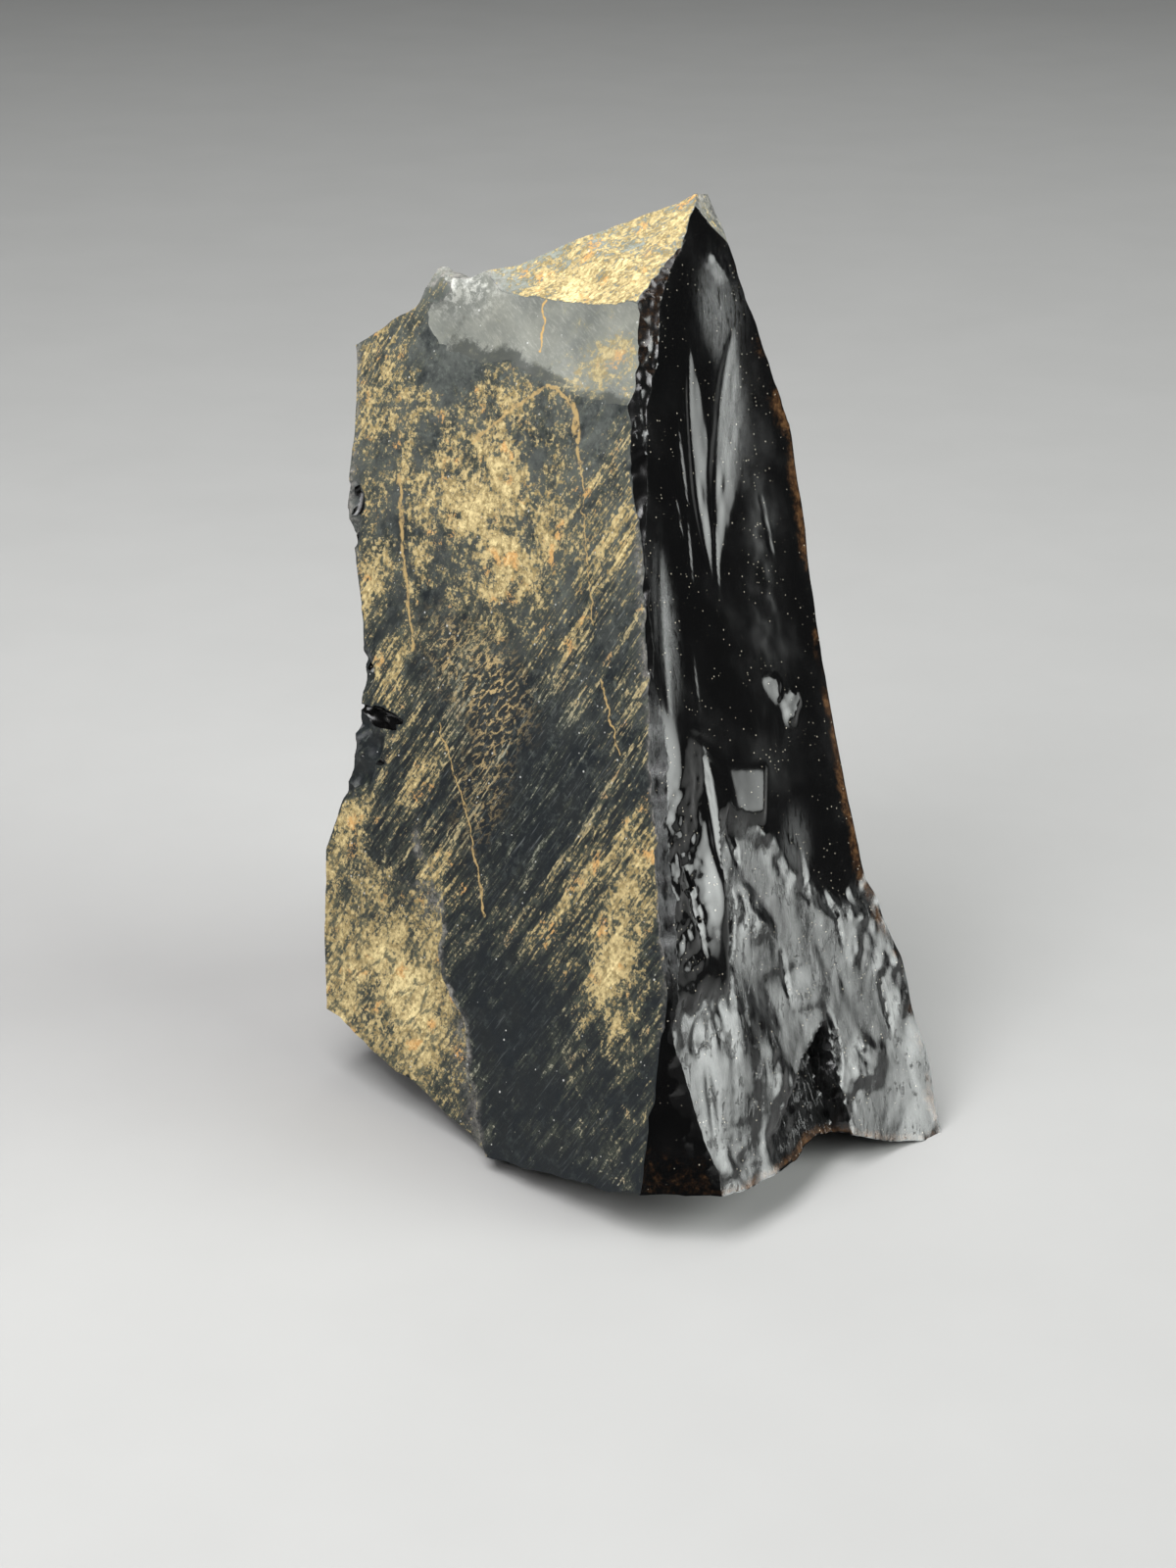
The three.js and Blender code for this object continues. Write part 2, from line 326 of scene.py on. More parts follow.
# %% [markdown]
# ## Breaking off a face
#
# The waste outside a face is a grid primitive, just large enough to cover what still stands out.
# Its points are raised or sunk by the relief, the sheet is extruded outward into a slab, and the
# slab is taken off with a Boolean. The surface that this leaves keeps the face's number as its
# material index, and the finishes are shared out by these numbers at the end.

# %% Shape the waste
SLAB_DEPTH = 14  # millimetres of waste taken off outside a face
RAGGED_BORDER = 3  # millimetres beside a slab's right side that stray with it


def on_face(mesh, matrix):
    """The mesh's points in a face's own millimetres."""
    points = np.empty(len(mesh.vertices) * 3)
    mesh.vertices.foreach_get("co", points)
    points = np.c_[points.reshape(-1, 3), np.ones(len(mesh.vertices))]
    return (points @ np.array(matrix.inverted()).T)[:, :3]


def turned_matrix(matrix, degrees):
    return matrix @ Matrix.Rotation(math.radians(degrees), 4, "Z")


def waste_slab(name, matrix, low, high, cell, relief, turn, ragged=0):
    """A slab over the stretch low to high of a face, its inner side shaped by the relief."""
    size = np.subtract(high, low)
    counts = [max(2, int(side / cell)) for side in size]
    bpy.ops.object.select_all(action="DESELECT")
    bpy.ops.mesh.primitive_grid_add(x_subdivisions=counts[0], y_subdivisions=counts[1], size=1)
    slab = bpy.context.object
    slab.name = "waste_" + name
    points = np.empty(len(slab.data.vertices) * 3)
    slab.data.vertices.foreach_get("co", points)
    points = points.reshape(-1, 3)
    points[:, :2] = points[:, :2] * size + np.add(low, high) / 2
    points[:, 0] += ragged * crooked(points[:, 1]) * ease(-RAGGED_BORDER, 0, points[:, 0])
    u, v = turned(points[:, 0], points[:, 1], -turn)
    points[:, 2] = relief(u, v)
    slab.data.vertices.foreach_set("co", points.ravel())
    bpy.ops.object.mode_set(mode="EDIT")
    bpy.ops.mesh.select_all(action="SELECT")
    bpy.ops.mesh.extrude_region_move(TRANSFORM_OT_translate={"value": (0, 0, SLAB_DEPTH)})
    bpy.ops.mesh.select_all(action="SELECT")
    bpy.ops.mesh.normals_make_consistent(inside=False)
    bpy.ops.object.mode_set(mode="OBJECT")
    slab.data.transform(turned_matrix(matrix, turn))
    return slab


# %% Take the waste off
MARGIN = 1.5  # millimetres that a slab reaches round and below what stands outside its face
RELIEFS = {}


def take_off(waste, name):
    """Subtracts the waste; the surface it leaves keeps the face's number."""
    waste.data.materials.clear()
    for slot in stone.data.materials:
        waste.data.materials.append(slot)
    numbers = [FACE_NUMBER[name]] * len(waste.data.polygons)
    waste.data.polygons.foreach_set("material_index", numbers)
    bpy.ops.object.select_all(action="DESELECT")
    bpy.context.view_layer.objects.active = stone
    stone.select_set(True)
    cut = stone.modifiers.new("break", "BOOLEAN")
    cut.operation = "DIFFERENCE"
    cut.solver = "MANIFOLD"
    cut.object = waste
    bpy.ops.object.modifier_apply(modifier=cut.name)
    bpy.data.objects.remove(waste, do_unlink=True)
    print(name, "done,", len(stone.data.vertices), "points in the stone")


def break_off(name, cell, relief, turn=0):
    """Breaks a whole face off, with points one cell apart, and remembers its relief."""
    RELIEFS[name] = relief
    matrix = face_matrix(name)
    standing = on_face(stone.data, turned_matrix(matrix, turn))
    standing = standing[standing[:, 2] > -MARGIN]
    low, high = standing[:, :2].min(axis=0) - MARGIN, standing[:, :2].max(axis=0) + MARGIN
    take_off(waste_slab(name, matrix, low, high, cell, relief, turn), name)


# %% [markdown]
# ## The stained prism face
#
# This is a real crystal face, so it is nearly flat. Growth left long low ledges on it, which run
# up to the right, and fine striations beside them. The grid is turned to run with them, which
# keeps their edges clean with fewer points. The left edge has crumbled in three places.

# %% Break off the prism face
LEDGE_TURN = -27
LEDGE_WIDTH, LEDGE_HEIGHT = 3.4, 0.16
CRUMBLED = [  # centre and half axes
    ((-46.6, 42.5), (1.9, 4.6)),
    ((-42.3, 29.8), (2.6, 4.4)),
    ((-39.5, 23.8), (3, 4.4)),
]


def left_edge_crumbs(u, v):
    """1 in the places where the left edge has crumbled."""
    ragged = 0.3 * grit(u, v, 2, 206, 3)
    return sum(ease(1, 0.6, reach(u, v, *place) + ragged) for place in CRUMBLED)


def prism_relief(u, v):
    across, along = turned(u, v, LEDGE_TURN)
    place = across / LEDGE_WIDTH
    step = np.floor(place)
    ledges = -LEDGE_HEIGHT * (place - step) * (0.4 + 0.6 * lattice(step, step * 0 + 7, 5))
    coarse_lines = 0.035 * noise(across / 0.55, along / 14, 201)
    fine_lines = 0.02 * noise(across / 0.3, along / 6, 202)
    crumbled = flakes(u, v, (1.1, 1.5), 0.7, 204) + 0.4 * crumple(u, v, 1.8, 205, 3) - 0.7
    worn = hollow(u, v, (-24, 26), (16, 34), 16, 0.5) + 0.03 * grit(u, v, 3, 203)
    return ledges + (coarse_lines + fine_lines) + worn + left_edge_crumbs(u, v) * crumbled


break_off("prism", 0.36, prism_relief, turn=LEDGE_TURN)

# %% [markdown]
# ## The top
#
# Three faces close the top. A shallow flake leaves a smooth grey hollow above the prism face, the
# sloping termination face is pitted where ochre crusts it, and behind it the top falls away. A
# crumbly lump was left standing where the three meet on the left, so each of them swells there.

# %% Break off the top
def crumbly_lump(u, v, centre, half, height, bumps, size, crumbs, seed):
    """The lump's share in one face: a mound with bumps of a given size and finer crumbs."""
    rough = height + bumps * grit(u, v, size, seed) + crumbs * crumple(u, v, 1.3, seed + 1, 3)
    return patch(u, v, centre, half) * rough


def chamfer_relief(u, v):
    scar = hollow(u, v, (4, -1), (18, 8), 0, 1.1) + hollow(u, v, (-11, -3), (9, 5.5), 0, 0.9) + 0.4
    lump = crumbly_lump(u, v, (-14.5, 2.4), (4.5, 3), 0.6, 0.5, 2, 0.6, 212)
    return scar + lump + ripples(u, v, (16, 8), 4.6, 0.05) + 0.02 * grit(u, v, 2.2, 211)


def termination_relief(u, v):
    sag = hollow(u, v, (-8, -0.5), (9, 4), 0, 0.6) + hollow(u, v, (-6, 6), (9, 5), -20, 0.5)
    layers = 0.08 * noise(u / 9, v / 0.7, 221)
    lump = crumbly_lump(u, v, (-19.5, -2), (6, 3.5), 0.5, 0.5, 2.2, 0.6, 222)
    return sag + 0.16 * grit(u, v, 3.2, 21) + layers + lump


def top_back_relief(u, v):
    lump = crumbly_lump(u, v, (14.2, -17), (3.4, 3), 1.9, 0.6, 1.6, 0.4, 32)
    saddle = hollow(u, v, (12.5, -13.5), (3, 3), 0, -0.5)
    return lump + saddle + hollow(u, v, (4, -20), (11, 8), 15, 1.4) + 0.25 * grit(u, v, 4, 31)


break_off("top_back", 0.45, top_back_relief)
break_off("termination", 0.3, termination_relief)
break_off("chamfer", 0.3, chamfer_relief)

# %% [markdown]
# ## The glassy fracture
#
# The right side is one big fracture and the reason to look at this stone. Black glass shows
# nothing but reflections, so here the slope of each place matters more than its depth. The upper
# part stays level and reflects the dark, and only where a scar turns it a few degrees does it
# catch the light. Below a crooked ridge the break slowed down and tore: the skirt leans back, so
# it shines silver, and it is covered with fine upright scales.

# %% Large forms of the fracture
RIDGE = [  # where the skirt begins, from left to right
    (-11.3, -16.3), (-7, -3.8), (-4, -5.6), (-1.7, -7.4), (-0.8, -10),
    (0.5, -12), (2.5, -14.2), (4.5, -15.2), (8, -14.6),
]
UPPER_HOLLOWS = [  # centre, half axes, turn and depth
    ((2.5, 15), (9, 26), -16, 0.25),
    ((-10.4, 0), (3.2, 7), -20, -0.4),
    ((-9.6, -10), (1.8, 4.5), -12, -0.35),
]
SKIRT_HOLLOWS = [
    ((8, -30), (3.2, 5), -15, -0.7),
    ((-13.5, -22.5), (6, 9), -25, -0.5),
]
SKIRT_MIDDLE = -18  # the skirt bends here, and leans back less above than below


def skirt_amount(u, v):
    """0 above the crooked ridge, 1 on the skirt below it."""
    ridge = np.interp(u, *zip(*RIDGE))
    ridge = ridge + 0.9 * noise(u / 2.2, u * 0 + 0.5, 44) + 0.5 * noise(u / 0.7, v / 2, 45)
    return ease(0.8, -1.9, v - ridge)


def fracture_body(u, v):
    upper = -0.57 + 0.03 * (v + 6) - 0.01 * (u - 11) + 0.4 * ease(16, 32, v)
    upper = dented(upper, u, v, UPPER_HOLLOWS)
    over_middle = v - SKIRT_MIDDLE
    skirt = -1.32 + 0.06 * (u + 16.5)
    skirt = skirt - 0.06 * np.minimum(0, over_middle) - 0.034 * np.maximum(0, over_middle)
    skirt = skirt + 0.8 * ease(-24, -36, v) * ease(0, 8, u)
    skirt = dented(skirt, u, v, SKIRT_HOLLOWS)
    share = skirt_amount(u, v)
    return upper * (1 - share) + skirt * share


# %% [markdown]
# ## Small marks on the fracture
#
# The two long flutes under the tip are the brightest lines of the stone, and shorter ones stand
# round them. Four small flats catch the light on the level glass. In the skirt the scales come in
# three sizes, fade where the stone is smooth, and stop at a dark notch that is torn out low down.
# On the left of the ridge the glass has crumbled.

# %% Tables of the small marks
FLUTES = [  # foot, tip, half width and depth; a negative width puts the wall on the right
    ((0.1, 12.9), (4.6, 31), 1.6, 0.42), ((1.4, 13.8), (10.9, 31.5), 2.1, 0.42),
    ((0.3, 11.4), (2.6, 17.5), 0.35, 0.16), ((-3, 11.8), (-0.6, 19.6), 0.3, 0.14),
    ((-2.5, 15), (-1.6, 22), 0.25, 0.12), ((-0.9, 17.5), (0.9, 26.5), 0.35, 0.15),
    ((0.6, 20.5), (2.2, 28), 0.3, 0.12), ((-6.2, 3.4), (-4.8, 9), 0.3, 0.1),
    ((8.2, 12), (9, 18.5), 0.22, 0.07), ((-10, 4), (-5, 17.5), 0.8, 0.16),
    ((-9.4, -9), (-6.9, 2), -0.9, 0.35), ((-11.8, -17.5), (-7.2, -8.8), -0.5, 0.55),
    ((-6, -9), (-5.6, -3.5), -0.5, 0.5), ((-13.4, -14), (-12.6, -4), -0.7, 0.5),
    ((-5.6, -21), (-4.2, -15.5), -0.4, 0.3), ((0.3, -14.5), (1.4, -9.4), -0.6, 0.35),
    ((-3.2, -28), (-1.6, -21.5), -0.8, 0.7), ((2.4, -18.5), (3.2, -14.5), -0.35, 0.3),
    ((-14.6, -21), (-14, -17), -0.3, 0.25), ((-18.5, -27), (-16.5, -20.5), -0.6, 0.3),
    ((4.4, -27), (5.6, -21), -0.5, 0.35),
]
FLATS = [  # centre, half size, turn, lean, and which way its sides are torn
    ((-2.7, -3.9), (1.9, 2.5), -16, 0.075, 0),
    ((10.6, 35.4), (0.8, 1.3), 20, 0.1, 1),
    ((3.9, 2.8), (0.7, 1.1), 10, 0.12, 1),
    ((5.1, 0.9), (1, 1.6), -12, 0.11, -1),
]
SMOOTH_SKIRT = [  # strength, centre, half axes and turn
    (1, (-12.5, -24), (3.6, 7), -28), (1, (-3.8, -11.5), (2.6, 8), 10),
    (1, (8.6, -30), (3.4, 5.5), 0), (0.7, (-20, -21.5), (3.4, 5), 0),
]
CRUMBLED_GLASS = [
    (1, (-13.8, -8), (4.2, 11), -14), (0.5, (-9.4, -2), (2.4, 5.5), -20),
]
SCALE_TURN = -22
FAN_POINT, FAN_RIBS = (-11, 5), 26  # ribs in a whole turn
NOTCH_TOP = (-2.2, -23)
print(len(FLUTES), "flutes and", len(FLATS), "flats")


# %% Small forms of the fracture
def fan_lines(u, v):
    """Low ribs that spread to the right from one point near the left edge."""
    ribs = np.cos(FAN_RIBS * np.arctan2(v - FAN_POINT[1], u - FAN_POINT[0]))
    return 0.035 * (ribs * patch(u, v, (-6.7, 1), (3, 3.4)))


def skirt_scales(u, v, wander):
    """Upright scales of three sizes, strong in some places, and two small slopes among them."""
    su, sv = turned(u, v, SCALE_TURN)
    scales = 0.42 * crumple(su, sv / 1.7, 3.1, 43) + flakes(su + wander, sv, (0.6, 1.1), 0.07, 46)
    scales = scales + flakes(su + wander, sv + wander, (4, 6.5), 0.35, 48) - 0.25
    scales = scales * (0.18 + 0.62 * ease(-0.3, 0.5, grit(u, v, 5.5, 55, 3)))
    scales = scales + 0.09 * (u + 3.6) * patch(u, v, (-3.6, -12), (3.6, 8), 10)
    return scales - 0.13 * (v + 19.4) * patch(u, v, (-4, -19.4), (4.2, 2.2), -20)


def notch_amount(u, v, wander):
    """1 in the notch, between a slanting wall above it and a steep one on its right."""
    below = (u - NOTCH_TOP[0]) * 0.44 - (v - NOTCH_TOP[1]) * 0.9 + 0.5 * wander
    before = 0.19 * (v - NOTCH_TOP[1]) + NOTCH_TOP[0] - u + 0.4 * wander
    return ease(0, 0.5, below) * ease(0, 0.6, before) * ease(-15, -12, u)


def fracture_relief(u, v):
    skirt = skirt_amount(u, v)
    wander = 0.9 * grit(u, v, 2.6, 47, 3)
    ragged = 0.35 * grit(u, v, 1.2, 58, 3)
    h = fracture_body(u, v)
    for row in FLUTES:
        h = h + flute(u, v, *row)
    for centre, half, turn, lean, tear in FLATS:
        h = h + facet(u + tear * ragged, v - tear * ragged, centre, half, turn, lean)
    h = h + fan_lines(u, v)
    kept = 1 - 0.8 * np.minimum(1, 1.4 * patches(u, v, SMOOTH_SKIRT))
    notch = notch_amount(u, v, wander)
    h = h + skirt * skirt_scales(u, v, wander) * kept * (1 - 0.8 * notch)
    sinking = 0.2 * (u + 13) + 0.1 * (v + 28) + 0.1 * wander
    h = h - sinking * notch
    su, sv = turned(u, v, SCALE_TURN)
    h = h + skirt * (1 - skirt) * 0.9 * grit(su, sv / 2.4, 1, 59, 3)
    crumbs = flakes(u, v, (0.55, 0.75), 0.12, 49) + 0.22 * crumple(u, v, 1.8, 50)
    crumbled = patches(u, v, CRUMBLED_GLASS) * (1 - skirt)
    h = h + crumbled * (crumbs - 0.2 - 0.08 * (u + 13.8))
    h = h + hollow(u, v, (10.5, 32), (4, 6), -20, -0.12)
    return h + 0.006 * grit(u, v, 1.5, 301, 3) + 0.004 * skirt * grit(u, v, 0.6, 302, 2)


break_off("fracture", 0.24, fracture_relief)

# %% [markdown]
# ## The front edge
#
# The long upright edge took the knocks. A small flat has come off under the tip, at its foot the
# edge is broken back into a steep dark triangle, its upper end is bruised into a narrow rough
# bevel, and small nibbles follow the rest. Bruise and nibbles are sheets of waste that follow the
# measured crest of the edge, set so that they bite only a little way into it.

# %% Break the flat under the tip and the dark triangle
def foot_relief(u, v):
    return -0.05 * (v + 7) + 0.02 * grit(u, v, 2.4, 311, 3)


break_off("tip_flat", 0.3, lambda u, v: 0.04 * grit(u, v, 1.5, 331))
break_off("foot_triangle", 0.3, foot_relief)

# %% Bruise the upper end and nibble the rest
STATIONS = np.arange(-72, 36, 1.5)  # millimetres up the edge
NIBBLE_DEPTH = 0.16


def edge_crest(name):
    """How far the stone stands out along an edge, station by station."""
    _, heights, crests = on_face(stone.data, face_matrix(name)).T
    near = [crests[np.abs(heights - station) < 1] for station in STATIONS]
    return [stretch.max() if len(stretch) else 0 for stretch in near]


bruise_crest = edge_crest("bruise")


def bruise_relief(u, v):
    bite = -0.85 + 1.05 * ease(-2, -31, v)  # deepest at the upper end
    rough = 0.16 * grit(u, v * 0.7, 2, 51) + flakes(u, v, (0.5, 1.1), 0.2, 321)
    return np.interp(v, STATIONS, bruise_crest) + bite + rough


break_off("bruise", 0.2, bruise_relief)
nibbled_crest = edge_crest("front_edge")


def nibbled_stretch(v):
    """1 along the middle of the front edge, where the nibbles are deepest."""
    return ease(6, 0, v) * ease(-21, -15, v)


def nibble_relief(u, v):
    bites = 0.16 * grit(u, v, 1.8, 325) + 0.12 * noise(u * 0 + 0.5, v / 7, 326)
    bites = bites - 0.4 * nibbled_stretch(v)
    return np.interp(v, STATIONS, nibbled_crest) - NIBBLE_DEPTH + bites


break_off("front_edge", 0.2, nibble_relief)

# %% [markdown]
# ## The sides that face away
#
# The back is finished as carefully, because a specimen is turned in the hand. One side is a
# second conchoidal fracture, one an old break with flakes off it, and the back is another prism
# face that has lost half of itself to one large flake.

# %% Break off the back and sides
LEFT_FLAKE = (-8, 27), (17, 15), 0  # centre, half axes and turn
BACK_FLAKE = (4, 20), (17, 24), 10
TOE_LIMIT = 2.2  # keeps the relief inside the allowance of the rough block


def left_back_relief(u, v):
    h = 0.2 + 0.2 * grit(u, v, 6, 61)
    h = np.minimum(h, bowl(u, v, *LEFT_FLAKE, 3.7, 0.4) + ripples(u, v, (-24, 40), 5, 0.08))
    h = np.minimum(h, bowl(u, v, (-22, 8), (15, 12), 20, 2.4, 0.8))
    return np.minimum(h, bowl(u, v, (-20, 47), (13, 9), 0, 1.3, 0.3)) + 0.04 * grit(u, v, 1.5, 341)


def right_back_relief(u, v):
    h = 4.6 * ease(2, -16, v) * ease(18, -6, u) + 0.2 * grit(u, v, 7, 71)
    h = h + hollow(u, v, (17, 4), (15, 26), 0, 2.4)
    h = np.minimum(h, TOE_LIMIT + 0.06 * grit(u, v, 5, 72))
    return h + ripples(u, v, (20, 36), 6.3, 0.04) + 0.05 * crumple(u, v, 1.6, 351, 3)


def shoulder_relief(u, v):
    return 0.22 * grit(u, v, 5, 81) + 0.1 * crumple(u, v, 1.5, 352, 3)


def back_relief(u, v):
    place = v / 5 + 0.3 * noise(u * 0 + 0.5, u / 12, 91)
    steps = -0.3 * (place - np.floor(place)) + 0.03 * noise(u / 8, v / 0.5, 361)
    flake = bowl(u, v, *BACK_FLAKE, 3.4, 0) + ripples(u, v, (8, 46), 5.2, 0.12)
    return np.minimum(steps, flake)


break_off("left_back", 0.42, left_back_relief)
break_off("right_back", 0.42, right_back_relief)
break_off("right_shoulder", 0.42, shoulder_relief)
break_off("back", 0.45, back_relief)

# %% [markdown]
# ## The underside
#
# The foot is a rough break. It rests on one flat patch, which is the block's own base, and rises
# from it on three sides, so the crystal seems to hover at its front edge.

# %% Break off the underside
def front_underside_relief(u, v):
    return hollow(u, v, (11, -9), (10, 10), 0, 1.9) + 0.25 * grit(u, v, 3.5, 101)


break_off("front_underside", 0.6, front_underside_relief)
break_off("left_underside", 0.6, lambda u, v: 0.35 * grit(u, v, 4, 111))
break_off("back_underside", 0.7, lambda u, v: 0.35 * grit(u, v, 4, 121))

# %% [markdown]
# ## The spalled corner and the nicks
#
# The lower left of the prism face has spalled off about a millimetre deep, down to a rough crust
# that rises to the face again at its upper end. Its slab is laid at a slant, and its right side
# is crooked, because that side becomes the visible step. The nicks in the left edge are small
# lumps of waste: ico spheres, dented, stretched and turned, each a little different.

# %% Spall the corner off
SPALL_TURN = 33
SPALL_CORNER = (-16.8, -2)
SPALL_LOW, SPALL_HIGH = (-30, -15), (0, 31)
SPALL_STRAY = 0.8  # millimetres that its right side strays


def spall_relief(u, v):
    across, along = turned(u, v, SPALL_TURN)
    depth = 1.5 * ease(29, 15, along)
    rough = 0.22 * grit(u, v, 5, 11) + 0.05 * flakes(u, v, (1.2, 1.2), 1, 401)
    return 0.4 - depth + 0.03 * across + rough


corner = face_matrix("spall") @ Matrix.Translation((*SPALL_CORNER, 0))
spalled = (corner, SPALL_LOW, SPALL_HIGH, 0.36, spall_relief, SPALL_TURN, SPALL_STRAY)
take_off(waste_slab("spall", *spalled), "spall")

# %% Nick the left edge
NICKS = [  # place on the prism face, radius, and stretch across, up and into it
    ((-46, 43.6), 0.9, (1, 1.5, 0.8)),
    ((-45.4, 41), 0.7, (0.9, 1.2, 0.8)),
    ((-38.2, 27.4), 1.5, (1.7, 0.55, 0.5)),
    ((-40.6, 30.6), 0.9, (0.8, 1.5, 0.8)),
    ((-38, 24.2), 0.9, (1.5, 0.6, 0.6)),
]
for place, radius, stretch in NICKS:
    bpy.ops.object.select_all(action="DESELECT")
    bpy.ops.mesh.primitive_ico_sphere_add(subdivisions=3, radius=radius)
    waste = bpy.context.object
    lump = np.empty(len(waste.data.vertices) * 3)
    waste.data.vertices.foreach_get("co", lump)
    lump = lump.reshape(-1, 3)
    dents = 0.75 + 0.5 * crumple(lump[:, 0] + place[0], lump[:, 1] + lump[:, 2], 1.6, 411, 3)
    waste.data.vertices.foreach_set("co", (lump * dents[:, None] * stretch).ravel())
    some_turn = Matrix.Rotation(place[1], 4, "X")  # only has to differ from nick to nick
    waste.data.transform(face_matrix("chips") @ Matrix.Translation((*place, 0)) @ some_turn)
    take_off(waste, "chips")

# %% [markdown]
# ## A clean mesh
#
# The cuts leave a few points that nearly coincide, and these are merged. Then the mesh is shaded
# smooth with an angle limit, which keeps the sharp breaks sharp. Last, the stone is fitted into
# the size that was measured, by less than the eye can see.

# %% Finish the mesh
SAME_POINT = 0.004  # millimetres
SHARP = 32  # degrees

bpy.ops.object.select_all(action="DESELECT")
bpy.context.view_layer.objects.active = stone
stone.select_set(True)
bpy.ops.object.mode_set(mode="EDIT")
bpy.ops.mesh.select_all(action="SELECT")
bpy.ops.mesh.remove_doubles(threshold=SAME_POINT * MM)
bpy.ops.object.mode_set(mode="OBJECT")
bpy.ops.object.shade_smooth_by_angle(angle=math.radians(SHARP))
points = on_face(stone.data, Matrix.Scale(MM, 4))
span = np.maximum(points.max(axis=0), -points.min(axis=0))
fit = np.minimum(1, np.array(cad_high) / MM / span)
print("stone", points.min(axis=0).round(2), points.max(axis=0).round(2), "fitted by", fit.round(4))
stone.data.transform(Matrix.Diagonal((*fit, 1)))
print("triangles", sum(len(side.vertices) - 2 for side in stone.data.polygons))

# %% [markdown]
# ## Where each thing lies, as attributes
#
# The stains and veils of a mineral follow its faces and edges: ochre settles on old faces, crushed
# white lines the knocked edge, and a brown glow of light let through, with brown glints, is painted on
# the last millimetres before a thin rim.
# Masks painted by hand could carry this, but here they are measured. Every point knows its face
# and how deep it lies behind the others, and ten attributes store what follows from that.

# %% Which face each point belongs to
face_of_side = np.empty(len(stone.data.polygons), dtype=np.int32)
stone.data.polygons.foreach_get("material_index", face_of_side)
corner_counts = np.empty(len(stone.data.polygons), dtype=np.int32)
stone.data.polygons.foreach_get("loop_total", corner_counts)
corner_points = np.empty(len(stone.data.loops), dtype=np.int32)
stone.data.loops.foreach_get("vertex_index", corner_points)
face_of_point = np.zeros(len(stone.data.vertices), dtype=np.int32)
face_of_point[corner_points] = np.repeat(face_of_side, corner_counts)
for name, number in FACE_NUMBER.items():
    print(name, "has", int((face_of_side == number).sum()), "sides")


def belongs(*names):
    """True for each point that belongs to one of the named faces."""
    return np.isin(face_of_point, [FACE_NUMBER[name] for name in names])


def place_on(name):
    """Every point's place on a face: right and up, in millimetres."""
    u, v, _ = on_face(stone.data, face_matrix(name)).T
    return u, v


def depth_behind(name):
    """How far each point lies inside a broken face, in millimetres."""
    u, v, out = on_face(stone.data, face_matrix(name)).T
    return RELIEFS[name](u, v) - out


# %% [markdown]
# ## Ochre, face by face
#
# On the prism face the ochre is thickest in broad fields, which are placed one by one. The spall
# is crusted except where it was knocked later. On the hidden sides the ochre covers the old
# surface and stops at the rims of the later flakes. A second mask says where it is rubbed into
# streaks; elsewhere it grows like moss.

# %% Where the ochre lies
PRISM_OCHRE = [  # how strong, then where on the prism face, how large and how turned
    (0.3, (-30.5, 46.5), (6, 12), 10), (0.25, (-34, 47), (16, 16), 0),
    (0.4, (-42.5, 37.5), (3.4, 5.5), 0), (0.4, (-37.8, 31), (2.8, 5.5), -15),
    (0.2, (-22, 43), (7, 13), -20), (-0.2, (-24, 31), (13, 6.5), -20),
    (0.42, (-6.8, 22), (4.4, 10), -6), (0.35, (-7.2, 14), (4.8, 6), 0),
    (0.22, (-12, 19), (6, 12), -27), (0.35, (-27.5, 16.5), (4.2, 3.4), 0),
    (0.2, (-46, 50), (4, 10), 0), (0.2, (-33, 24), (4, 7), 0),
    (-0.2, (-18, 27), (7, 9), -27), (-0.3, (-17, 8), (9, 8), 0),
    (-0.3, (-38, 57.5), (6, 4), 0), (-0.2, (-21, 22), (6, 6), -27),
    (-0.2, (-10, -3), (18, 12), 0), (0.14, (-16, 47), (6, 9), -27),
    (0.16, (-45, 56), (8, 6), 0), (0.34, (-40.5, 17.5), (6, 9), 0),
]
u, v = place_on("prism")
chamfer_u, chamfer_v = place_on("chamfer")
top_u, top_v = place_on("termination")
left_u, left_v = place_on("left_back")
back_u, back_v = place_on("back")
spall_ochre = 0.66 - 0.4 * patch(u, v, (-31, 17), (5, 6)) + 0.3 * patch(u, v, (-29.5, 6.8), (9, 4), -40)
left_rim = reach(left_u, left_v, *LEFT_FLAKE) + 0.12 * grit(left_u, left_v, 4, 62)
back_rim = reach(back_u, back_v, *BACK_FLAKE) + 0.12 * grit(back_u, back_v, 5, 61)
OCHRE = {
    "prism": 0.3 + patches(u, v, PRISM_OCHRE) - 0.35 * left_edge_crumbs(u, v),
    "spall": spall_ochre - 0.3 * ease(-26, -20, u) - 0.2 * ease(14, 22, v),
    "chamfer": 0.12 + 0.4 * patch(chamfer_u, chamfer_v, (6.5, -1), (11, 6)),
    "termination": 0.42 + 0.34 * ease(-16, -5, top_u) + 0.16 * ease(4, -1, top_v),
    "top_back": 0.42,
    "tip_flat": 0.4,
    "left_back": 0.12 + 0.35 * ease(0.8, 1.1, left_rim),
    "back": 0.1 + 0.42 * ease(0.85, 1.1, back_rim),
    "chips": 0.1,
}
on_lump = patch(chamfer_u, chamfer_v, (-12.5, 2.6), (8, 4))
on_lump = on_lump * belongs("chamfer", "termination", "top_back")
ochre = np.zeros(len(u))
for name, amount in OCHRE.items():
    ochre = np.where(belongs(name), amount, ochre)
ochre = ochre * (1 - 0.9 * on_lump)

# %% Streaks or moss
MOSSY = [(0.3, (-7, 20), (8, 14), 0), (0.6, (-41, 17), (8, 13), 0)]
prism_streaks = ease(0.3, 1, reach(u, v, (-34, 48), (20, 22)))
prism_streaks = prism_streaks - 0.5 * ease(30, 8, v) - patches(u, v, MOSSY)
streaks = np.where(belongs("prism"), prism_streaks, 0.45)
streaks[belongs("termination")] = 0.8
streaks[belongs("back")] = 0.5
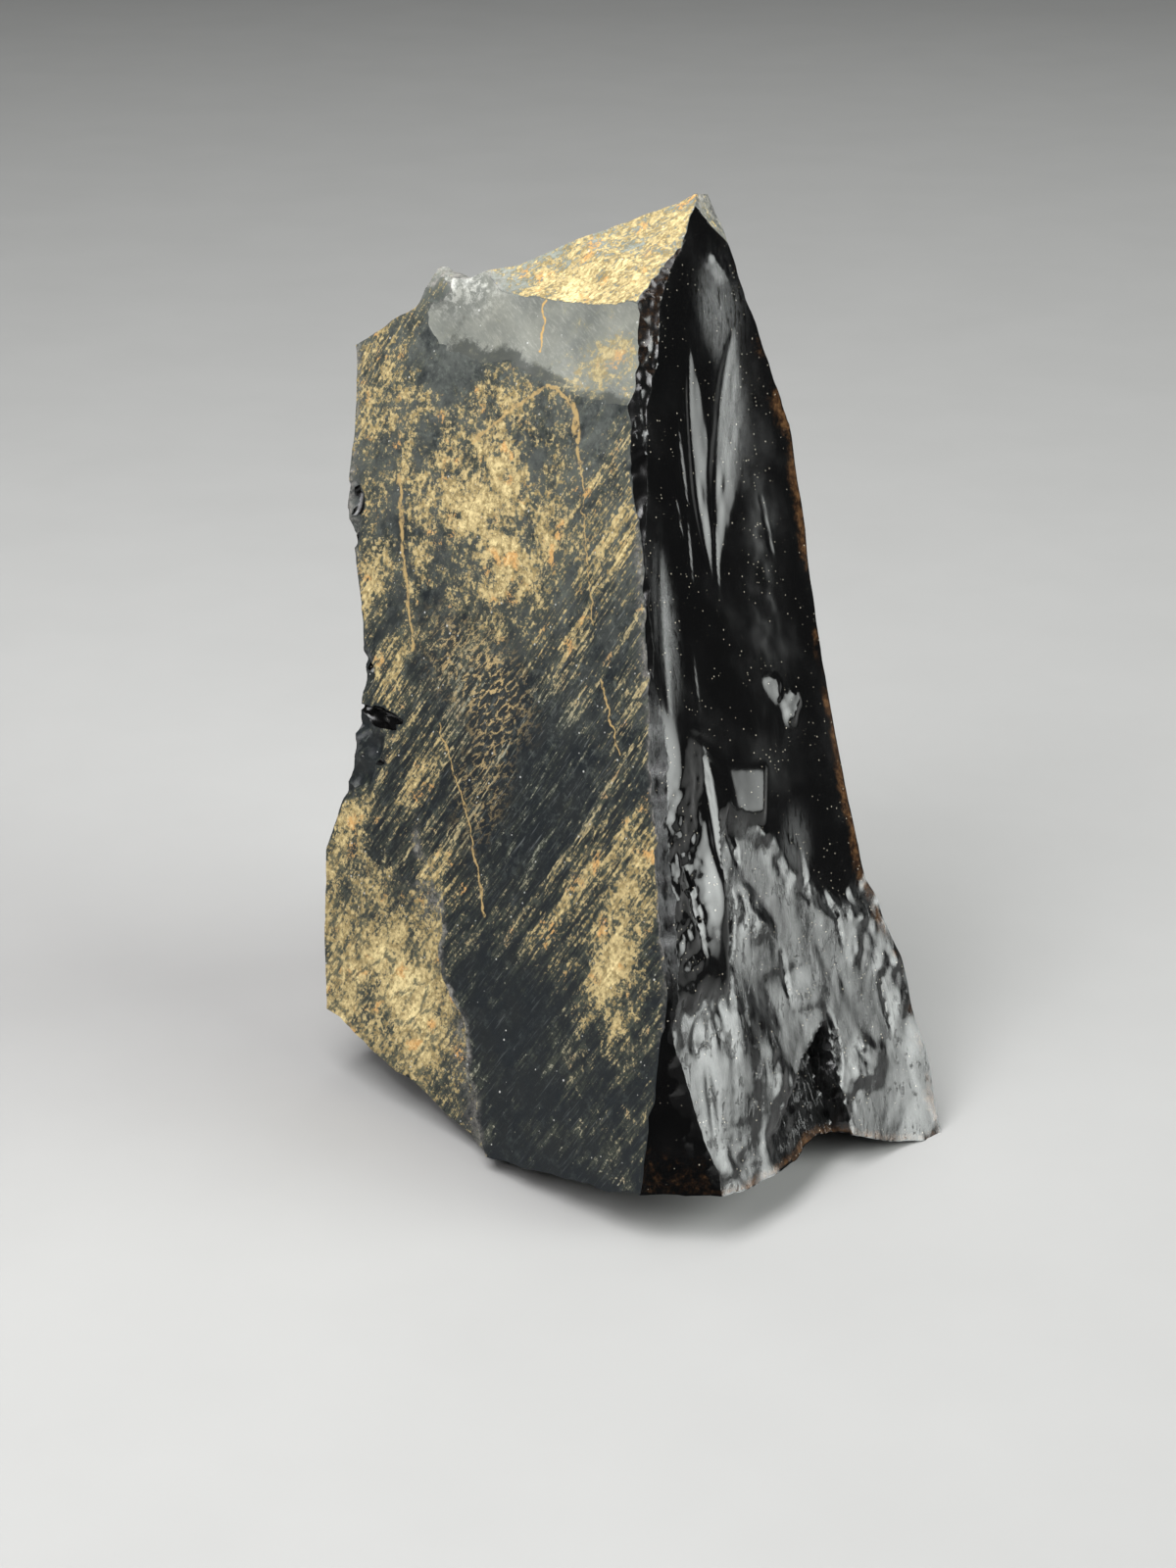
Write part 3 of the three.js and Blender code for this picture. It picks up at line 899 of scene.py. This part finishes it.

# %% [markdown]
# ## Crushed stone, frost and thin rims
#
# The veil is everything pale: the crushed line along the knocked edges, the step of the spall, the
# crumbly lump, cloudy places in the glass, and frost on the torn skirt, thickest along its upper
# border. The rim mask marks the glass that is thin enough to let brown light through; there a brown
# glow of that light, and brown glints on the foot triangle and the bruised edge, are painted into the
# colour.

# %% The veil
CLOUDY = [  # strength, centre, half axes and turn
    (0.3, (10, 33), (5, 6), -20), (0.25, (7.6, 24.5), (3.2, 7.5), -22),
    (0.4, (-7, 11), (2, 9), -16), (0.3, (1, -9.5), (3, 5), -30),
]
front_crush = ease(1.3, 0.1, depth_behind("fracture")) * belongs("prism")
left_crush = ease(0.9, 0.1, depth_behind("left_back")) * belongs("prism") * ease(30, 44, v)
step_u, step_v = turned(u - SPALL_CORNER[0], v - SPALL_CORNER[1], SPALL_TURN)
from_step = np.abs(step_u - SPALL_STRAY * crooked(step_v))
spall_step = ease(0.55, 0.1, from_step) * ease(30, 22, step_v) * ease(-1, 1, step_v)
spall_step = spall_step * (0.25 + 0.75 * ease(-0.3, 0.4, grit(u, v, 2.4, 63)))
spall_pink = 0.8 * ease(-22, -17, u + 0.65 * v) * belongs("spall")
glass_u, glass_v = place_on("fracture")
skirt_here = skirt_amount(glass_u, glass_v)
frost = 0.14 * skirt_here + 1.2 * skirt_here * (1 - skirt_here) + patches(glass_u, glass_v, CLOUDY)
edge_v = place_on("front_edge")[1]
veil = np.maximum.reduce([
    front_crush,
    left_crush,
    spall_step * belongs("prism", "spall"),
    spall_pink,
    on_lump,
    frost * belongs("fracture"),
    0.8 * nibbled_stretch(edge_v) * belongs("front_edge"),
    0.8 * belongs("tip_flat"),
])

# %% Thin rims
right_depth = np.minimum(depth_behind("right_back"), depth_behind("right_shoulder"))
right_rim_glow = ease(2.2, 0.1, right_depth) * (0.5 + 0.5 * ease(31, 24, glass_v))
right_rim_glow = right_rim_glow * (0.4 + 0.6 * ease(-0.5, 0.5, grit(glass_u, glass_v, 2.6, 64)))
above_foot = depth_behind("front_underside")
# Painted light: where the rim mask is high, a brown glow of light let through and brown glints are
# painted into the glass colour.
rim = np.maximum.reduce([
    right_rim_glow * belongs("fracture"),
    0.9 * ease(1.4, 0.1, above_foot) * belongs("fracture"),
    0.5 * ease(9, 0.3, above_foot) * belongs("foot_triangle"),
    0.55 * ease(22, 31, edge_v) * belongs("front_edge", "bruise"),
])

# %% Store the masks
NET = [(1.3, (-28.5, 33.5), (9.5, 5), -20), (0.8, (-25.5, 26), (4, 8), 0)]
masks = {
    "ochre": ochre,
    "streaks": streaks,
    "veil": veil,
    "rim": rim,
    "dull": 1.0 * belongs("bruise", "front_edge", "chips"),
    "cracked": belongs("spall") + 0.4 * patch(u, v, (-33, 22), (6, 7)) * belongs("prism"),
    "net": patches(u, v, NET) * belongs("prism"),
    # Painted shade along the chamfer's lower border, where it meets the prism face.
    "painted_border_shade": ease(0.7, 0.05, depth_behind("prism")) * ease(-14, -9, chamfer_u) * belongs("chamfer"),
    "torn": skirt_here * belongs("fracture"),
    # Paler at the very top of the stone, by height alone.
    "paler_top_edge": ease(61, 66, v) * (belongs("prism", "termination") + 0.4 * belongs("top_back")),
}
for name, values in masks.items():
    stored = stone.data.attributes.new(name, "FLOAT", "POINT")
    stored.data.foreach_set("value", np.clip(values, 0, 1).astype(np.float32))
    print(name, "averages", round(float(values.mean()), 3))

# %% [markdown]
# ## Node tools
#
# A few helpers keep the materials readable. Each adds one node, takes plain values or other
# nodes' outputs alike, and hands back the output that is wanted.

# %% Node helpers
def feed(tree, node, inputs):
    """Sets each input to a plain value, or links it to another node's output."""
    for key, value in inputs.items():
        if isinstance(value, bpy.types.NodeSocket):
            tree.links.new(value, node.inputs[key])
        else:
            node.inputs[key].default_value = value
    return node


def put(tree, kind, inputs=None, **settings):
    """A new node of a kind, with its settings and inputs."""
    made = tree.nodes.new("ShaderNode" + kind)
    for key, value in settings.items():
        setattr(made, key, value)
    return feed(tree, made, inputs or {})


def maths(tree, operation, first, second):
    """One sum of two numbers."""
    return put(tree, "Math", {0: first, 1: second}, operation=operation).outputs[0]


def plus(tree, first, second):
    return maths(tree, "ADD", first, second)


def times(tree, first, second):
    return maths(tree, "MULTIPLY", first, second)


def vectors(tree, operation, first, second, output="Vector"):
    """One sum of two vectors; some give a number, on the output Value."""
    return put(tree, "VectorMath", {0: first, 1: second}, operation=operation).outputs[output]


def cloud(tree, vector, size, detail=4.0, harsh=0.6):
    """Noise with lumps of about the given size, mostly near one half."""
    values = {"Vector": vector, "Scale": 1 / size, "Detail": detail, "Roughness": harsh}
    return put(tree, "TexNoise", values).outputs["Fac"]


def band(tree, value, low, high):
    """0 up to low, 1 from high on, and a soft ramp between."""
    values = {"Value": value, "From Min": low, "From Max": high}
    return put(tree, "MapRange", values, interpolation_type="SMOOTHSTEP").outputs["Result"]


def between(tree, share, first, second):
    """A value between two others."""
    return put(tree, "Mix", {0: share, 2: first, 3: second}, data_type="FLOAT").outputs[0]


def blend(tree, share, first, second):
    """Mixes two colours; each is a colour or another node's output."""
    values = {0: share}
    for key, colour in ((6, first), (7, second)):
        values[key] = colour if isinstance(colour, bpy.types.NodeSocket) else (*colour, 1)
    return put(tree, "Mix", values, data_type="RGBA").outputs[2]


def measured(tree, name):
    """One of the stone's masks."""
    return put(tree, "Attribute", attribute_name=name).outputs["Fac"]


def new_group(name, inputs, outputs):
    """An empty node group: the tree, what it is given, and the node that takes its results."""
    tree = bpy.data.node_groups.new(name, "ShaderNodeTree")
    for title, kind in inputs.items():
        tree.interface.new_socket(name=title, in_out="INPUT", socket_type="NodeSocket" + kind)
    for title, kind in outputs.items():
        tree.interface.new_socket(name=title, in_out="OUTPUT", socket_type="NodeSocket" + kind)
    return tree, tree.nodes.new("NodeGroupInput").outputs, tree.nodes.new("NodeGroupOutput")


def use_group(tree, group, inputs):
    """Puts a node group to work and hands back all its outputs."""
    made = tree.nodes.new("ShaderNodeGroup")
    made.node_tree = group
    return feed(tree, made, inputs).outputs


# %% [markdown]
# ## Ochre crust
#
# The ochre is a thin earthy crust. On rough ground it grows like moss, in clumps and speckles,
# and on the striated face it is rubbed into the grooves and shows as streaks. Both are one noise
# read two ways: as it is, and squeezed across the grooves. The amount decides how much of the
# noise stands above the waterline, so one group gives lone flecks and a closed crust alike. Fine
# grain breaks the waterline up, and a greenish halo stains the stone just outside it.

# %% The crust group
EARTH = (0.3, 0.226, 0.1)
OLD_OCHRE = (0.55, 0.43, 0.21)
RUST = (0.6, 0.34, 0.12)
STRAW = (0.8, 0.66, 0.34)
THIN_FILM = (0.29, 0.29, 0.225)

crust, given, result = new_group(
    "ochre_crust",
    {"Place": "Vector", "Streak Place": "Vector", "Amount": "Float", "Streaks": "Float"},
    {"Mask": "Float", "Halo": "Float", "Color": "Color", "Height": "Float"},
)
moss = cloud(crust, given["Place"], 1.4, 8, 0.85)
rubbed = cloud(crust, given["Streak Place"], 1, 6, 0.74)
pattern = between(crust, given["Streaks"], moss, rubbed)
clumps = cloud(crust, given["Place"], 4.5)
belts = cloud(crust, given["Streak Place"], 6)
fields = between(crust, given["Streaks"], clumps, belts)
level = plus(crust, times(crust, pattern, 1.8), times(crust, fields, 1.1))
level = plus(crust, level, times(crust, given["Amount"], 0.6))
grain = maths(crust, "SUBTRACT", cloud(crust, given["Place"], 0.34, 4, 0.7), 0.5)
grainy = plus(crust, level, times(crust, grain, 1.05))
mask = band(crust, grainy, 1.76, 1.86)
speckle = band(crust, cloud(crust, given["Place"], 0.5), 0.4, 0.6)
rusty = band(crust, cloud(crust, given["Place"], 2.2, 3), 0.58, 0.68)
colour = blend(crust, rusty, blend(crust, speckle, EARTH, OLD_OCHRE), RUST)
colour = blend(crust, band(crust, grainy, 1.95, 2.25), colour, STRAW)
colour = blend(crust, band(crust, given["Amount"], 0.4, 0.1), colour, THIN_FILM)
feed(crust, result, {
    "Mask": mask,
    "Halo": band(crust, level, 1.55, 1.9),
    "Color": colour,
    "Height": plus(crust, mask, times(crust, moss, 0.7)),
})
print("the crust group has", len(crust.nodes), "nodes")

# %% [markdown]
# ## Cracks, nets and dust
#
# A healed crack is a thin line that wanders. The group measures the distance to a straight
# stretch after the place has been shaken by noise, so a few stretches in a row make one natural
# line. A crackle net is the border between shaken Voronoi cells, broken up by more noise. Dust
# is the middle of some Voronoi cells, picked by the cell's random colour.

# %% The crack group
crack, given, result = new_group(
    "crack_line",
    {"Place": "Vector", "Start": "Vector", "End": "Vector", "Width": "Float"},
    {"Mask": "Float"},
)
shake = put(crack, "TexNoise", {"Vector": given["Place"], "Scale": 0.8, "Detail": 5.0}).outputs["Color"]
shake = vectors(crack, "SUBTRACT", shake, (0.5, 0.5, 0.5))
shake = vectors(crack, "MULTIPLY", shake, (1.4, 1.4, 0))
flat = vectors(crack, "MULTIPLY", given["Place"], (1, 1, 0))
here = vectors(crack, "ADD", flat, shake)
arm = vectors(crack, "SUBTRACT", here, given["Start"])
line = vectors(crack, "SUBTRACT", given["End"], given["Start"])
shadow = vectors(crack, "DOT_PRODUCT", arm, line, "Value")
squared = vectors(crack, "DOT_PRODUCT", line, line, "Value")
share = put(crack, "Clamp", {0: maths(crack, "DIVIDE", shadow, squared)}).outputs[0]
nearest = put(crack, "VectorMath", {0: line, "Scale": share}, operation="SCALE").outputs[0]
gap = vectors(crack, "DISTANCE", arm, nearest, "Value")
reached = band(crack, maths(crack, "DIVIDE", gap, given["Width"]), 1.0, 0.4)
broken = band(crack, cloud(crack, given["Place"], 0.6, 3), 0.3, 0.5)
feed(crack, result, {"Mask": times(crack, reached, broken)})
print("the crack group has", len(crack.nodes), "nodes")

# %% The net and dust groups
net, given, result = new_group("crackle_net", {"Place": "Vector", "Size": "Float"}, {"Mask": "Float"})
values = {"Vector": given["Place"], "Scale": 1.6, "Detail": 6.0, "Roughness": 0.7}
shake = put(net, "TexNoise", values).outputs["Color"]
shaken = vectors(net, "ADD", shake, given["Place"])
values = {"Vector": shaken, "Scale": maths(net, "DIVIDE", 1.0, given["Size"])}
gap = put(net, "TexVoronoi", values, feature="DISTANCE_TO_EDGE").outputs["Distance"]
broken = band(net, cloud(net, given["Place"], 0.6, 4, 0.7), 0.45, 0.56)
feed(net, result, {"Mask": times(net, band(net, gap, 0.12, 0.03), broken)})

dust, given, result = new_group(
    "dust_specks",
    {"Place": "Vector", "Size": "Float", "Share": "Float"},
    {"Mask": "Float"},
)
values = {"Vector": given["Place"], "Scale": maths(dust, "DIVIDE", 1.0, given["Size"])}
cells = put(dust, "TexVoronoi", values)
chance = put(dust, "SeparateColor", {0: cells.outputs["Color"]}).outputs
picked = maths(dust, "LESS_THAN", chance[0], given["Share"])
radius = plus(dust, times(dust, chance[1], 0.2), 0.06)
dot = band(dust, maths(dust, "DIVIDE", cells.outputs["Distance"], radius), 1.0, 0.5)
feed(dust, result, {"Mask": times(dust, picked, dot)})
print("the net and dust groups have", len(net.nodes), "and", len(dust.nodes), "nodes")

# %% [markdown]
# ## Places on a face
#
# All patterns are drawn in a face's own millimetres, so that a crack can be put where it belongs.
# A Mapping node turns Object coordinates into them: set to Texture, it takes the face's place and
# turn as they are and undoes them. A second Mapping node squeezes a pattern along a slant.

# %% Coordinate helpers
QUARTZ_IOR = 1.544


def face_place(tree, name):
    """The place on a face, in its own millimetres."""
    matrix = face_matrix(name)
    values = {
        "Vector": put(tree, "TexCoord").outputs["Object"],
        "Location": matrix.translation,
        "Rotation": matrix.to_euler(),
        "Scale": (MM, MM, MM),
    }
    return put(tree, "Mapping", values, vector_type="TEXTURE").outputs[0]


def squeezed(tree, place, turn, size):
    """A place read on turned axes, one unit of each now as long as the size says."""
    values = {"Vector": place, "Rotation": (0, 0, math.radians(turn)), "Scale": size}
    return put(tree, "Mapping", values, vector_type="TEXTURE").outputs[0]


def rough_skin(tree, height, strength, depth):
    """A normal from a height mask, with a depth in millimetres."""
    values = {"Strength": strength, "Distance": depth * MM, "Height": height}
    return put(tree, "Bump", values).outputs[0]


def start_material(name):
    material = bpy.data.materials.new(name)
    material.use_nodes = True
    tree = material.node_tree
    return material, tree, tree.nodes["Principled BSDF"]


# %% [markdown]
# ## Finish 1: the stained faces
#
# The old faces are dull slate in two tones with a pale haze. Their slate and its mottle are painted
# lighter towards the top, as painted light from above, and the top edge is paler still, with hair lines
# along the striations. The veil lays speckled grey on the crushed edges, and the ochre lies over all of
# it, parted by cracks. The healed cracks and a fine net of crackle are filled with ochre too, and a
# little dust sparkles everywhere.

# %% Stained quartz: the bare stone
DARK_SLATE, LOW_SHADED_HAZE, TOP_LIT_HAZE = (0.008, 0.0115, 0.015), (0.012, 0.0145, 0.0155), (0.12, 0.13, 0.12)
LOW_SHADED_MOTTLE, TOP_LIT_MOTTLE = (0.04, 0.048, 0.047), (0.19, 0.21, 0.185)
PALE_TOP_STONE, HAIR_LINE = (0.3, 0.32, 0.28), (0.2, 0.215, 0.21)
CRUSHED_DARK, CRUSHED_PALE = (0.07, 0.066, 0.064), (0.52, 0.49, 0.45)

stained, tree, shader = start_material("stained_quartz")
place = face_place(tree, "prism")
height = put(tree, "SeparateXYZ", {0: place}).outputs[1]
# Painted light, with a real pale haze: the slate is painted lighter towards the top, where the light
# falls more.
haze_and_top_light = blend(tree, band(tree, height, 22, 62), LOW_SHADED_HAZE, TOP_LIT_HAZE)
slate = blend(tree, band(tree, cloud(tree, place, 4, 9, 0.75), 0.32, 0.66), DARK_SLATE, haze_and_top_light)
mottle = band(tree, cloud(tree, place, 0.8, 6, 0.8), 0.5, 0.72)
# Painted light: the mottle is painted lighter towards the top as well.
pale = blend(tree, band(tree, height, 10, 60), LOW_SHADED_MOTTLE, TOP_LIT_MOTTLE)
slate = blend(tree, times(tree, mottle, 0.8), slate, pale)
# The top of the stone is paler, by height alone.
slate = blend(tree, measured(tree, "paler_top_edge"), slate, PALE_TOP_STONE)
hair = cloud(tree, squeezed(tree, place, LEDGE_TURN - 2, (0.16, 2.6, 0.16)), 1)
hair = times(tree, band(tree, hair, 0.58, 0.74), measured(tree, "streaks"))
slate = blend(tree, times(tree, hair, 0.55), slate, HAIR_LINE)
grey = blend(tree, band(tree, cloud(tree, place, 0.5, 6, 0.8), 0.3, 0.7), CRUSHED_DARK, CRUSHED_PALE)
speckled = band(tree, cloud(tree, place, 0.7, 5, 0.8), 0.35, 0.6)
colour = blend(tree, times(tree, measured(tree, "veil"), speckled), slate, grey)

# %% Stained quartz: ochre, cracks and dust
OCHRE_HALO, NET_OCHRE, CRACK_OCHRE = (0.115, 0.125, 0.085), (0.5, 0.37, 0.18), (0.55, 0.38, 0.16)
PALE_DUST = (0.55, 0.55, 0.52)
CRACKS = [  # start and end on the prism face, width
    ((-41.4, 47), (-39.6, 41.5), 0.26), ((-39.6, 41.5), (-36, 33.8), 0.24),
    ((-34, 51.2), (-30.6, 54.6), 0.24), ((-30.6, 54.6), (-27.2, 57.2), 0.2),
    ((-27.2, 57.2), (-24, 56.2), 0.2), ((-24, 56.2), (-22, 52), 0.34),
    ((-22, 52), (-17.1, 40.1), 0.09), ((-31.4, 28.6), (-26, 22), 0.1),
    ((-26, 22), (-22.1, 15.4), 0.14), ((-15, 36.5), (-11.6, 31.5), 0.1),
]


def crack_mask(tree, place, start, end, width):
    """One stretch of a healed crack, between two places on the prism face."""
    stretch = {"Place": place, "Start": (*start, 0), "End": (*end, 0), "Width": width}
    return use_group(tree, crack, stretch)["Mask"]


crusted = use_group(tree, crust, {
    "Place": place,
    "Streak Place": squeezed(tree, place, LEDGE_TURN, (0.27, 2.6, 0.27)),
    "Amount": measured(tree, "ochre"),
    "Streaks": measured(tree, "streaks"),
})
colour = blend(tree, times(tree, crusted["Halo"], 0.65), colour, OCHRE_HALO)
tilted = squeezed(tree, place, -35, (1, 1.8, 1))
parted = use_group(tree, net, {"Place": tilted, "Size": 1.9})["Mask"]
parted = times(tree, parted, measured(tree, "cracked"))
kept = maths(tree, "SUBTRACT", 1.0, times(tree, parted, 0.85))
colour = blend(tree, times(tree, crusted["Mask"], kept), colour, crusted["Color"])
tilted = squeezed(tree, place, -38, (0.75, 1.5, 1))
fine_net = use_group(tree, net, {"Place": tilted, "Size": 0.8})["Mask"]
colour = blend(tree, times(tree, fine_net, measured(tree, "net")), colour, NET_OCHRE)
lines = 0.0
for start, end, width in CRACKS:
    lines = maths(tree, "MAXIMUM", lines, crack_mask(tree, place, start, end, width))
colour = blend(tree, times(tree, lines, 0.8), colour, CRACK_OCHRE)
sparkle = use_group(tree, dust, {"Place": place, "Size": 0.45, "Share": 0.1})["Mask"]
feed(tree, shader, {
    "Base Color": blend(tree, sparkle, colour, PALE_DUST),
    "Roughness": plus(tree, times(tree, crusted["Mask"], 0.42), 0.38),
    "Normal": rough_skin(tree, crusted["Height"], 0.5, 0.09),
    "IOR": QUARTZ_IOR,
    "Specular IOR Level": 0.3,
})
print("stained quartz has", len(tree.nodes), "nodes")

# %% [markdown]
# ## Finish 2: smoky flakes
#
# Fresh shallow flakes at the top look pale and smoky, because light scatters in the bruised stone under
# them. They are smooth enough for a satin sheen. Fine slanting lines cross the smoke, its lower border,
# where the flake meets the prism face, is painted with mottled dark shade, and thin ochre lies on it in
# patches.

# %% Smoky flake
SMOKE_DARK, SMOKE_PALE = (0.17, 0.18, 0.165), (0.3, 0.305, 0.265)
SMOKE_GRAIN, SMOKE_LINE = (0.11, 0.118, 0.108), (0.42, 0.42, 0.37)
SMOKE_WHITE, SMOKE_BORDER_SHADE = (0.7, 0.7, 0.64), (0.075, 0.08, 0.072)
SMOKE_HALO, SMOKE_CRACK, SMOKE_DUST = (0.25, 0.25, 0.17), (0.6, 0.38, 0.14), (0.6, 0.6, 0.58)

flaked, tree, shader = start_material("smoky_flake")
place = face_place(tree, "prism")
smoke = blend(tree, band(tree, cloud(tree, place, 3.5, 5), 0.3, 0.7), SMOKE_DARK, SMOKE_PALE)
smoke = blend(tree, times(tree, cloud(tree, place, 0.3, 4, 0.8), 0.5), smoke, SMOKE_GRAIN)
fine = cloud(tree, squeezed(tree, place, 62, (0.2, 1, 0.2)), 1, 6, 0.85)
smoke = blend(tree, times(tree, band(tree, fine, 0.48, 0.7), 0.6), smoke, SMOKE_LINE)
white = band(tree, cloud(tree, place, 0.7, 7, 0.75), 0.44, 0.66)
white = times(tree, measured(tree, "veil"), white)
smoke = blend(tree, white, smoke, SMOKE_WHITE)
# Painted shade: the lower border, where the flake meets the prism face, is painted mottled dark.
border_shade = times(tree, cloud(tree, place, 0.7, 8, 0.85), 1.6)
border_shade = band(tree, plus(tree, measured(tree, "painted_border_shade"), border_shade), 1.25, 1.6)
smoke = blend(tree, border_shade, smoke, SMOKE_BORDER_SHADE)
crusted = use_group(tree, crust, {
    "Place": place,
    "Streak Place": squeezed(tree, place, 90, (0.42, 3.2, 0.42)),
    "Amount": measured(tree, "ochre"),
    "Streaks": 0.1,
})
smoke = blend(tree, times(tree, crusted["Halo"], 0.5), smoke, SMOKE_HALO)
smoke = blend(tree, times(tree, crusted["Mask"], 0.7), smoke, crusted["Color"])
smoke = blend(tree, crack_mask(tree, place, (-30.6, 63.2), (-29.4, 59.4), 0.12), smoke, SMOKE_CRACK)
sparkle = use_group(tree, dust, {"Place": place, "Size": 0.5, "Share": 0.08})["Mask"]
feed(tree, shader, {
    "Base Color": blend(tree, sparkle, smoke, SMOKE_DUST),
    "Roughness": plus(tree, times(tree, white, 0.2), 0.3),
    "Normal": rough_skin(tree, cloud(tree, place, 0.8, 6, 0.7), 0.4, 0.05),
    "IOR": QUARTZ_IOR,
})
print("smoky flake has", len(tree.nodes), "nodes")

# %% [markdown]
# ## Finish 3: glassy morion
#
# Fresh morion is black glass. It is made as real glass is: clear with the index of quartz, and filled
# with a brown absorption so strong that light dies within a millimetre. The base colour only matters
# where something lies on the glass or just under it: a silvery frost on the torn skirt, and dust; and
# at thin rims it carries a blotchy painted brown glow with brown glints, which stands in for the light
# let through there. Hair cracks in the skirt dull the gloss and dent it.

# %% Glassy morion: what shows in the glass
CLEAR_BLACK, FROST, DUST = (0.002, 0.002, 0.002), (0.15, 0.155, 0.155), (0.75, 0.68, 0.55)
DARK_AMBER_GLOW, AMBER_GLOW = (0.035, 0.015, 0.007), (0.23, 0.115, 0.048)
ABSORBED = (0.62, 0.3, 0.12, 1)
ABSORPTION = 2000  # per metre

glassy, tree, shader = start_material("glassy_morion")
place = face_place(tree, "fracture")
# Painted light: a blotchy brown glow and brown glints at the thin rims, standing in for light let
# through.
blotches = band(tree, cloud(tree, place, 0.6, 6, 0.8), 0.38, 0.68)
amber_glow = blend(tree, blotches, DARK_AMBER_GLOW, AMBER_GLOW)
spotted = plus(tree, times(tree, measured(tree, "rim"), 0.55), cloud(tree, place, 0.7, 7, 0.8))
painted_rim_glow = times(tree, measured(tree, "rim"), band(tree, spotted, 0.72, 1.0))
glass = blend(tree, painted_rim_glow, CLEAR_BLACK, amber_glow)
torn = cloud(tree, squeezed(tree, place, -20, (0.5, 1.8, 0.5)), 1, 7, 0.78)
frosted = times(tree, measured(tree, "veil"), band(tree, torn, 0.38, 0.64))
glass = blend(tree, frosted, glass, FROST)
dusty = times(tree, band(tree, cloud(tree, place, 5, 3), 0.4, 0.65), 0.42)
specks = use_group(tree, dust, {"Place": place, "Size": 0.3, "Share": plus(tree, dusty, 0.06)})["Mask"]
glass = blend(tree, specks, glass, DUST)

# %% Glassy morion: gloss, cracks and absorption
hairs = use_group(tree, net, {"Place": squeezed(tree, place, -24, (0.7, 2.4, 1)), "Size": 1.1})["Mask"]
cracked_here = band(tree, cloud(tree, place, 3, 4, 0.7), 0.48, 0.6)
hairs = times(tree, hairs, times(tree, measured(tree, "torn"), cracked_here))
smears = band(tree, cloud(tree, place, 7, 3), 0.4, 0.7)
roughness = plus(tree, times(tree, measured(tree, "veil"), 0.07), 0.08)
roughness = plus(tree, roughness, times(tree, measured(tree, "dull"), 0.12))
roughness = plus(tree, roughness, times(tree, smears, 0.08))
roughness = plus(tree, roughness, times(tree, hairs, 0.3))
feed(tree, shader, {
    "Base Color": glass,
    "Roughness": roughness,
    "Normal": rough_skin(tree, maths(tree, "SUBTRACT", frosted, hairs), 0.5, 0.04),
    "IOR": QUARTZ_IOR,
    "Transmission Weight": 0.5,
})
absorption = put(tree, "VolumeAbsorption", {"Color": ABSORBED, "Density": ABSORPTION})
feed(tree, tree.nodes["Material Output"], {"Volume": absorption.outputs[0]})
print("glassy morion has", len(tree.nodes), "nodes")

# %% [markdown]
# ## Sharing out the finishes
#
# The face numbers have done their work. Each side of the mesh now gets one of the three
# finishes, by the face that it belongs to.

# %% Give each face its finish
FINISHES = [  # material and its faces; the glass takes all the others
    (stained, ("prism", "spall", "termination", "tip_flat", "top_back", "left_back", "back")),
    (flaked, ("chamfer",)),
    (glassy, ()),
]
stone.data.materials.clear()
finish = np.full(len(face_of_side), len(FINISHES) - 1, dtype=np.int32)
for number, (material, names) in enumerate(FINISHES):
    stone.data.materials.append(material)
    finish[np.isin(face_of_side, [FACE_NUMBER[name] for name in names])] = number
stone.data.polygons.foreach_set("material_index", finish)
stone.data.update()
print("sides per finish:", np.bincount(finish).tolist())

# %% [markdown]
# ## The studio
#
# A pale floor and four soft lights. The key on the left and the box above it light the stained
# face, and one behind lifts the edges. The large one on the right is not there to light anything:
# it is what the black glass shows. It hangs just high enough that only the parts of the fracture
# that lean back reflect it, its spread is narrow, and it is tinted a little cool.

# %% Floor, lights and world
PAPER_DARK, PAPER_PALE = (0.38, 0.376, 0.372), (0.415, 0.411, 0.407)

bpy.ops.object.select_all(action="DESELECT")
bpy.ops.mesh.primitive_plane_add(size=4)
floor = bpy.context.object
floor.name = "studio_floor"
paper, tree, shader = start_material("pale_paper")
grain = cloud(tree, put(tree, "TexCoord").outputs["Object"], 0.02, 3)
feed(tree, shader, {
    "Base Color": blend(tree, grain, PAPER_DARK, PAPER_PALE),
    "Roughness": 0.85,
})
floor.data.materials.append(paper)


def softbox(name, azimuth, elevation, distance, size, power, spread=180, tint=(1, 1, 1)):
    """A soft light that looks at the middle of the stone; distance and size are in metres."""
    out = facing(azimuth, elevation)
    middle = Vector((0, 0, HEIGHT / 2 * MM))
    bpy.ops.object.light_add(type="AREA", location=middle + out * distance)
    light = bpy.context.object
    light.name = name
    light.data.shape = "RECTANGLE"
    light.data.size, light.data.size_y = size
    light.data.energy = power
    light.data.color = tint
    light.data.spread = math.radians(spread)
    light.rotation_euler = out.to_track_quat("Z", "Y").to_euler()


softbox("key_softbox", -38, 42, 0.6, (0.3, 0.3), 1.6)
softbox("top_softbox", -55, 68, 0.28, (0.2, 0.2), 0.9)
softbox("right_softbox", 74, 23, 1.2, (1.2, 0.94), 5.5, spread=68, tint=(0.96, 1, 0.97))
softbox("back_softbox", 180, 60, 0.7, (0.4, 0.4), 1.3)

world = bpy.data.worlds.new("studio")
bpy.context.scene.world = world
world.use_nodes = True
sky = {"Color": (0.85, 0.87, 0.9, 1), "Strength": 0.06}
feed(world.node_tree, world.node_tree.nodes["Background"], sky)
bpy.context.scene.view_settings.view_transform = "Standard"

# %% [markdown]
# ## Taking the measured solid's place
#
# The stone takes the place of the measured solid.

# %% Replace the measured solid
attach(stone, "root")
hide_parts(NODE)
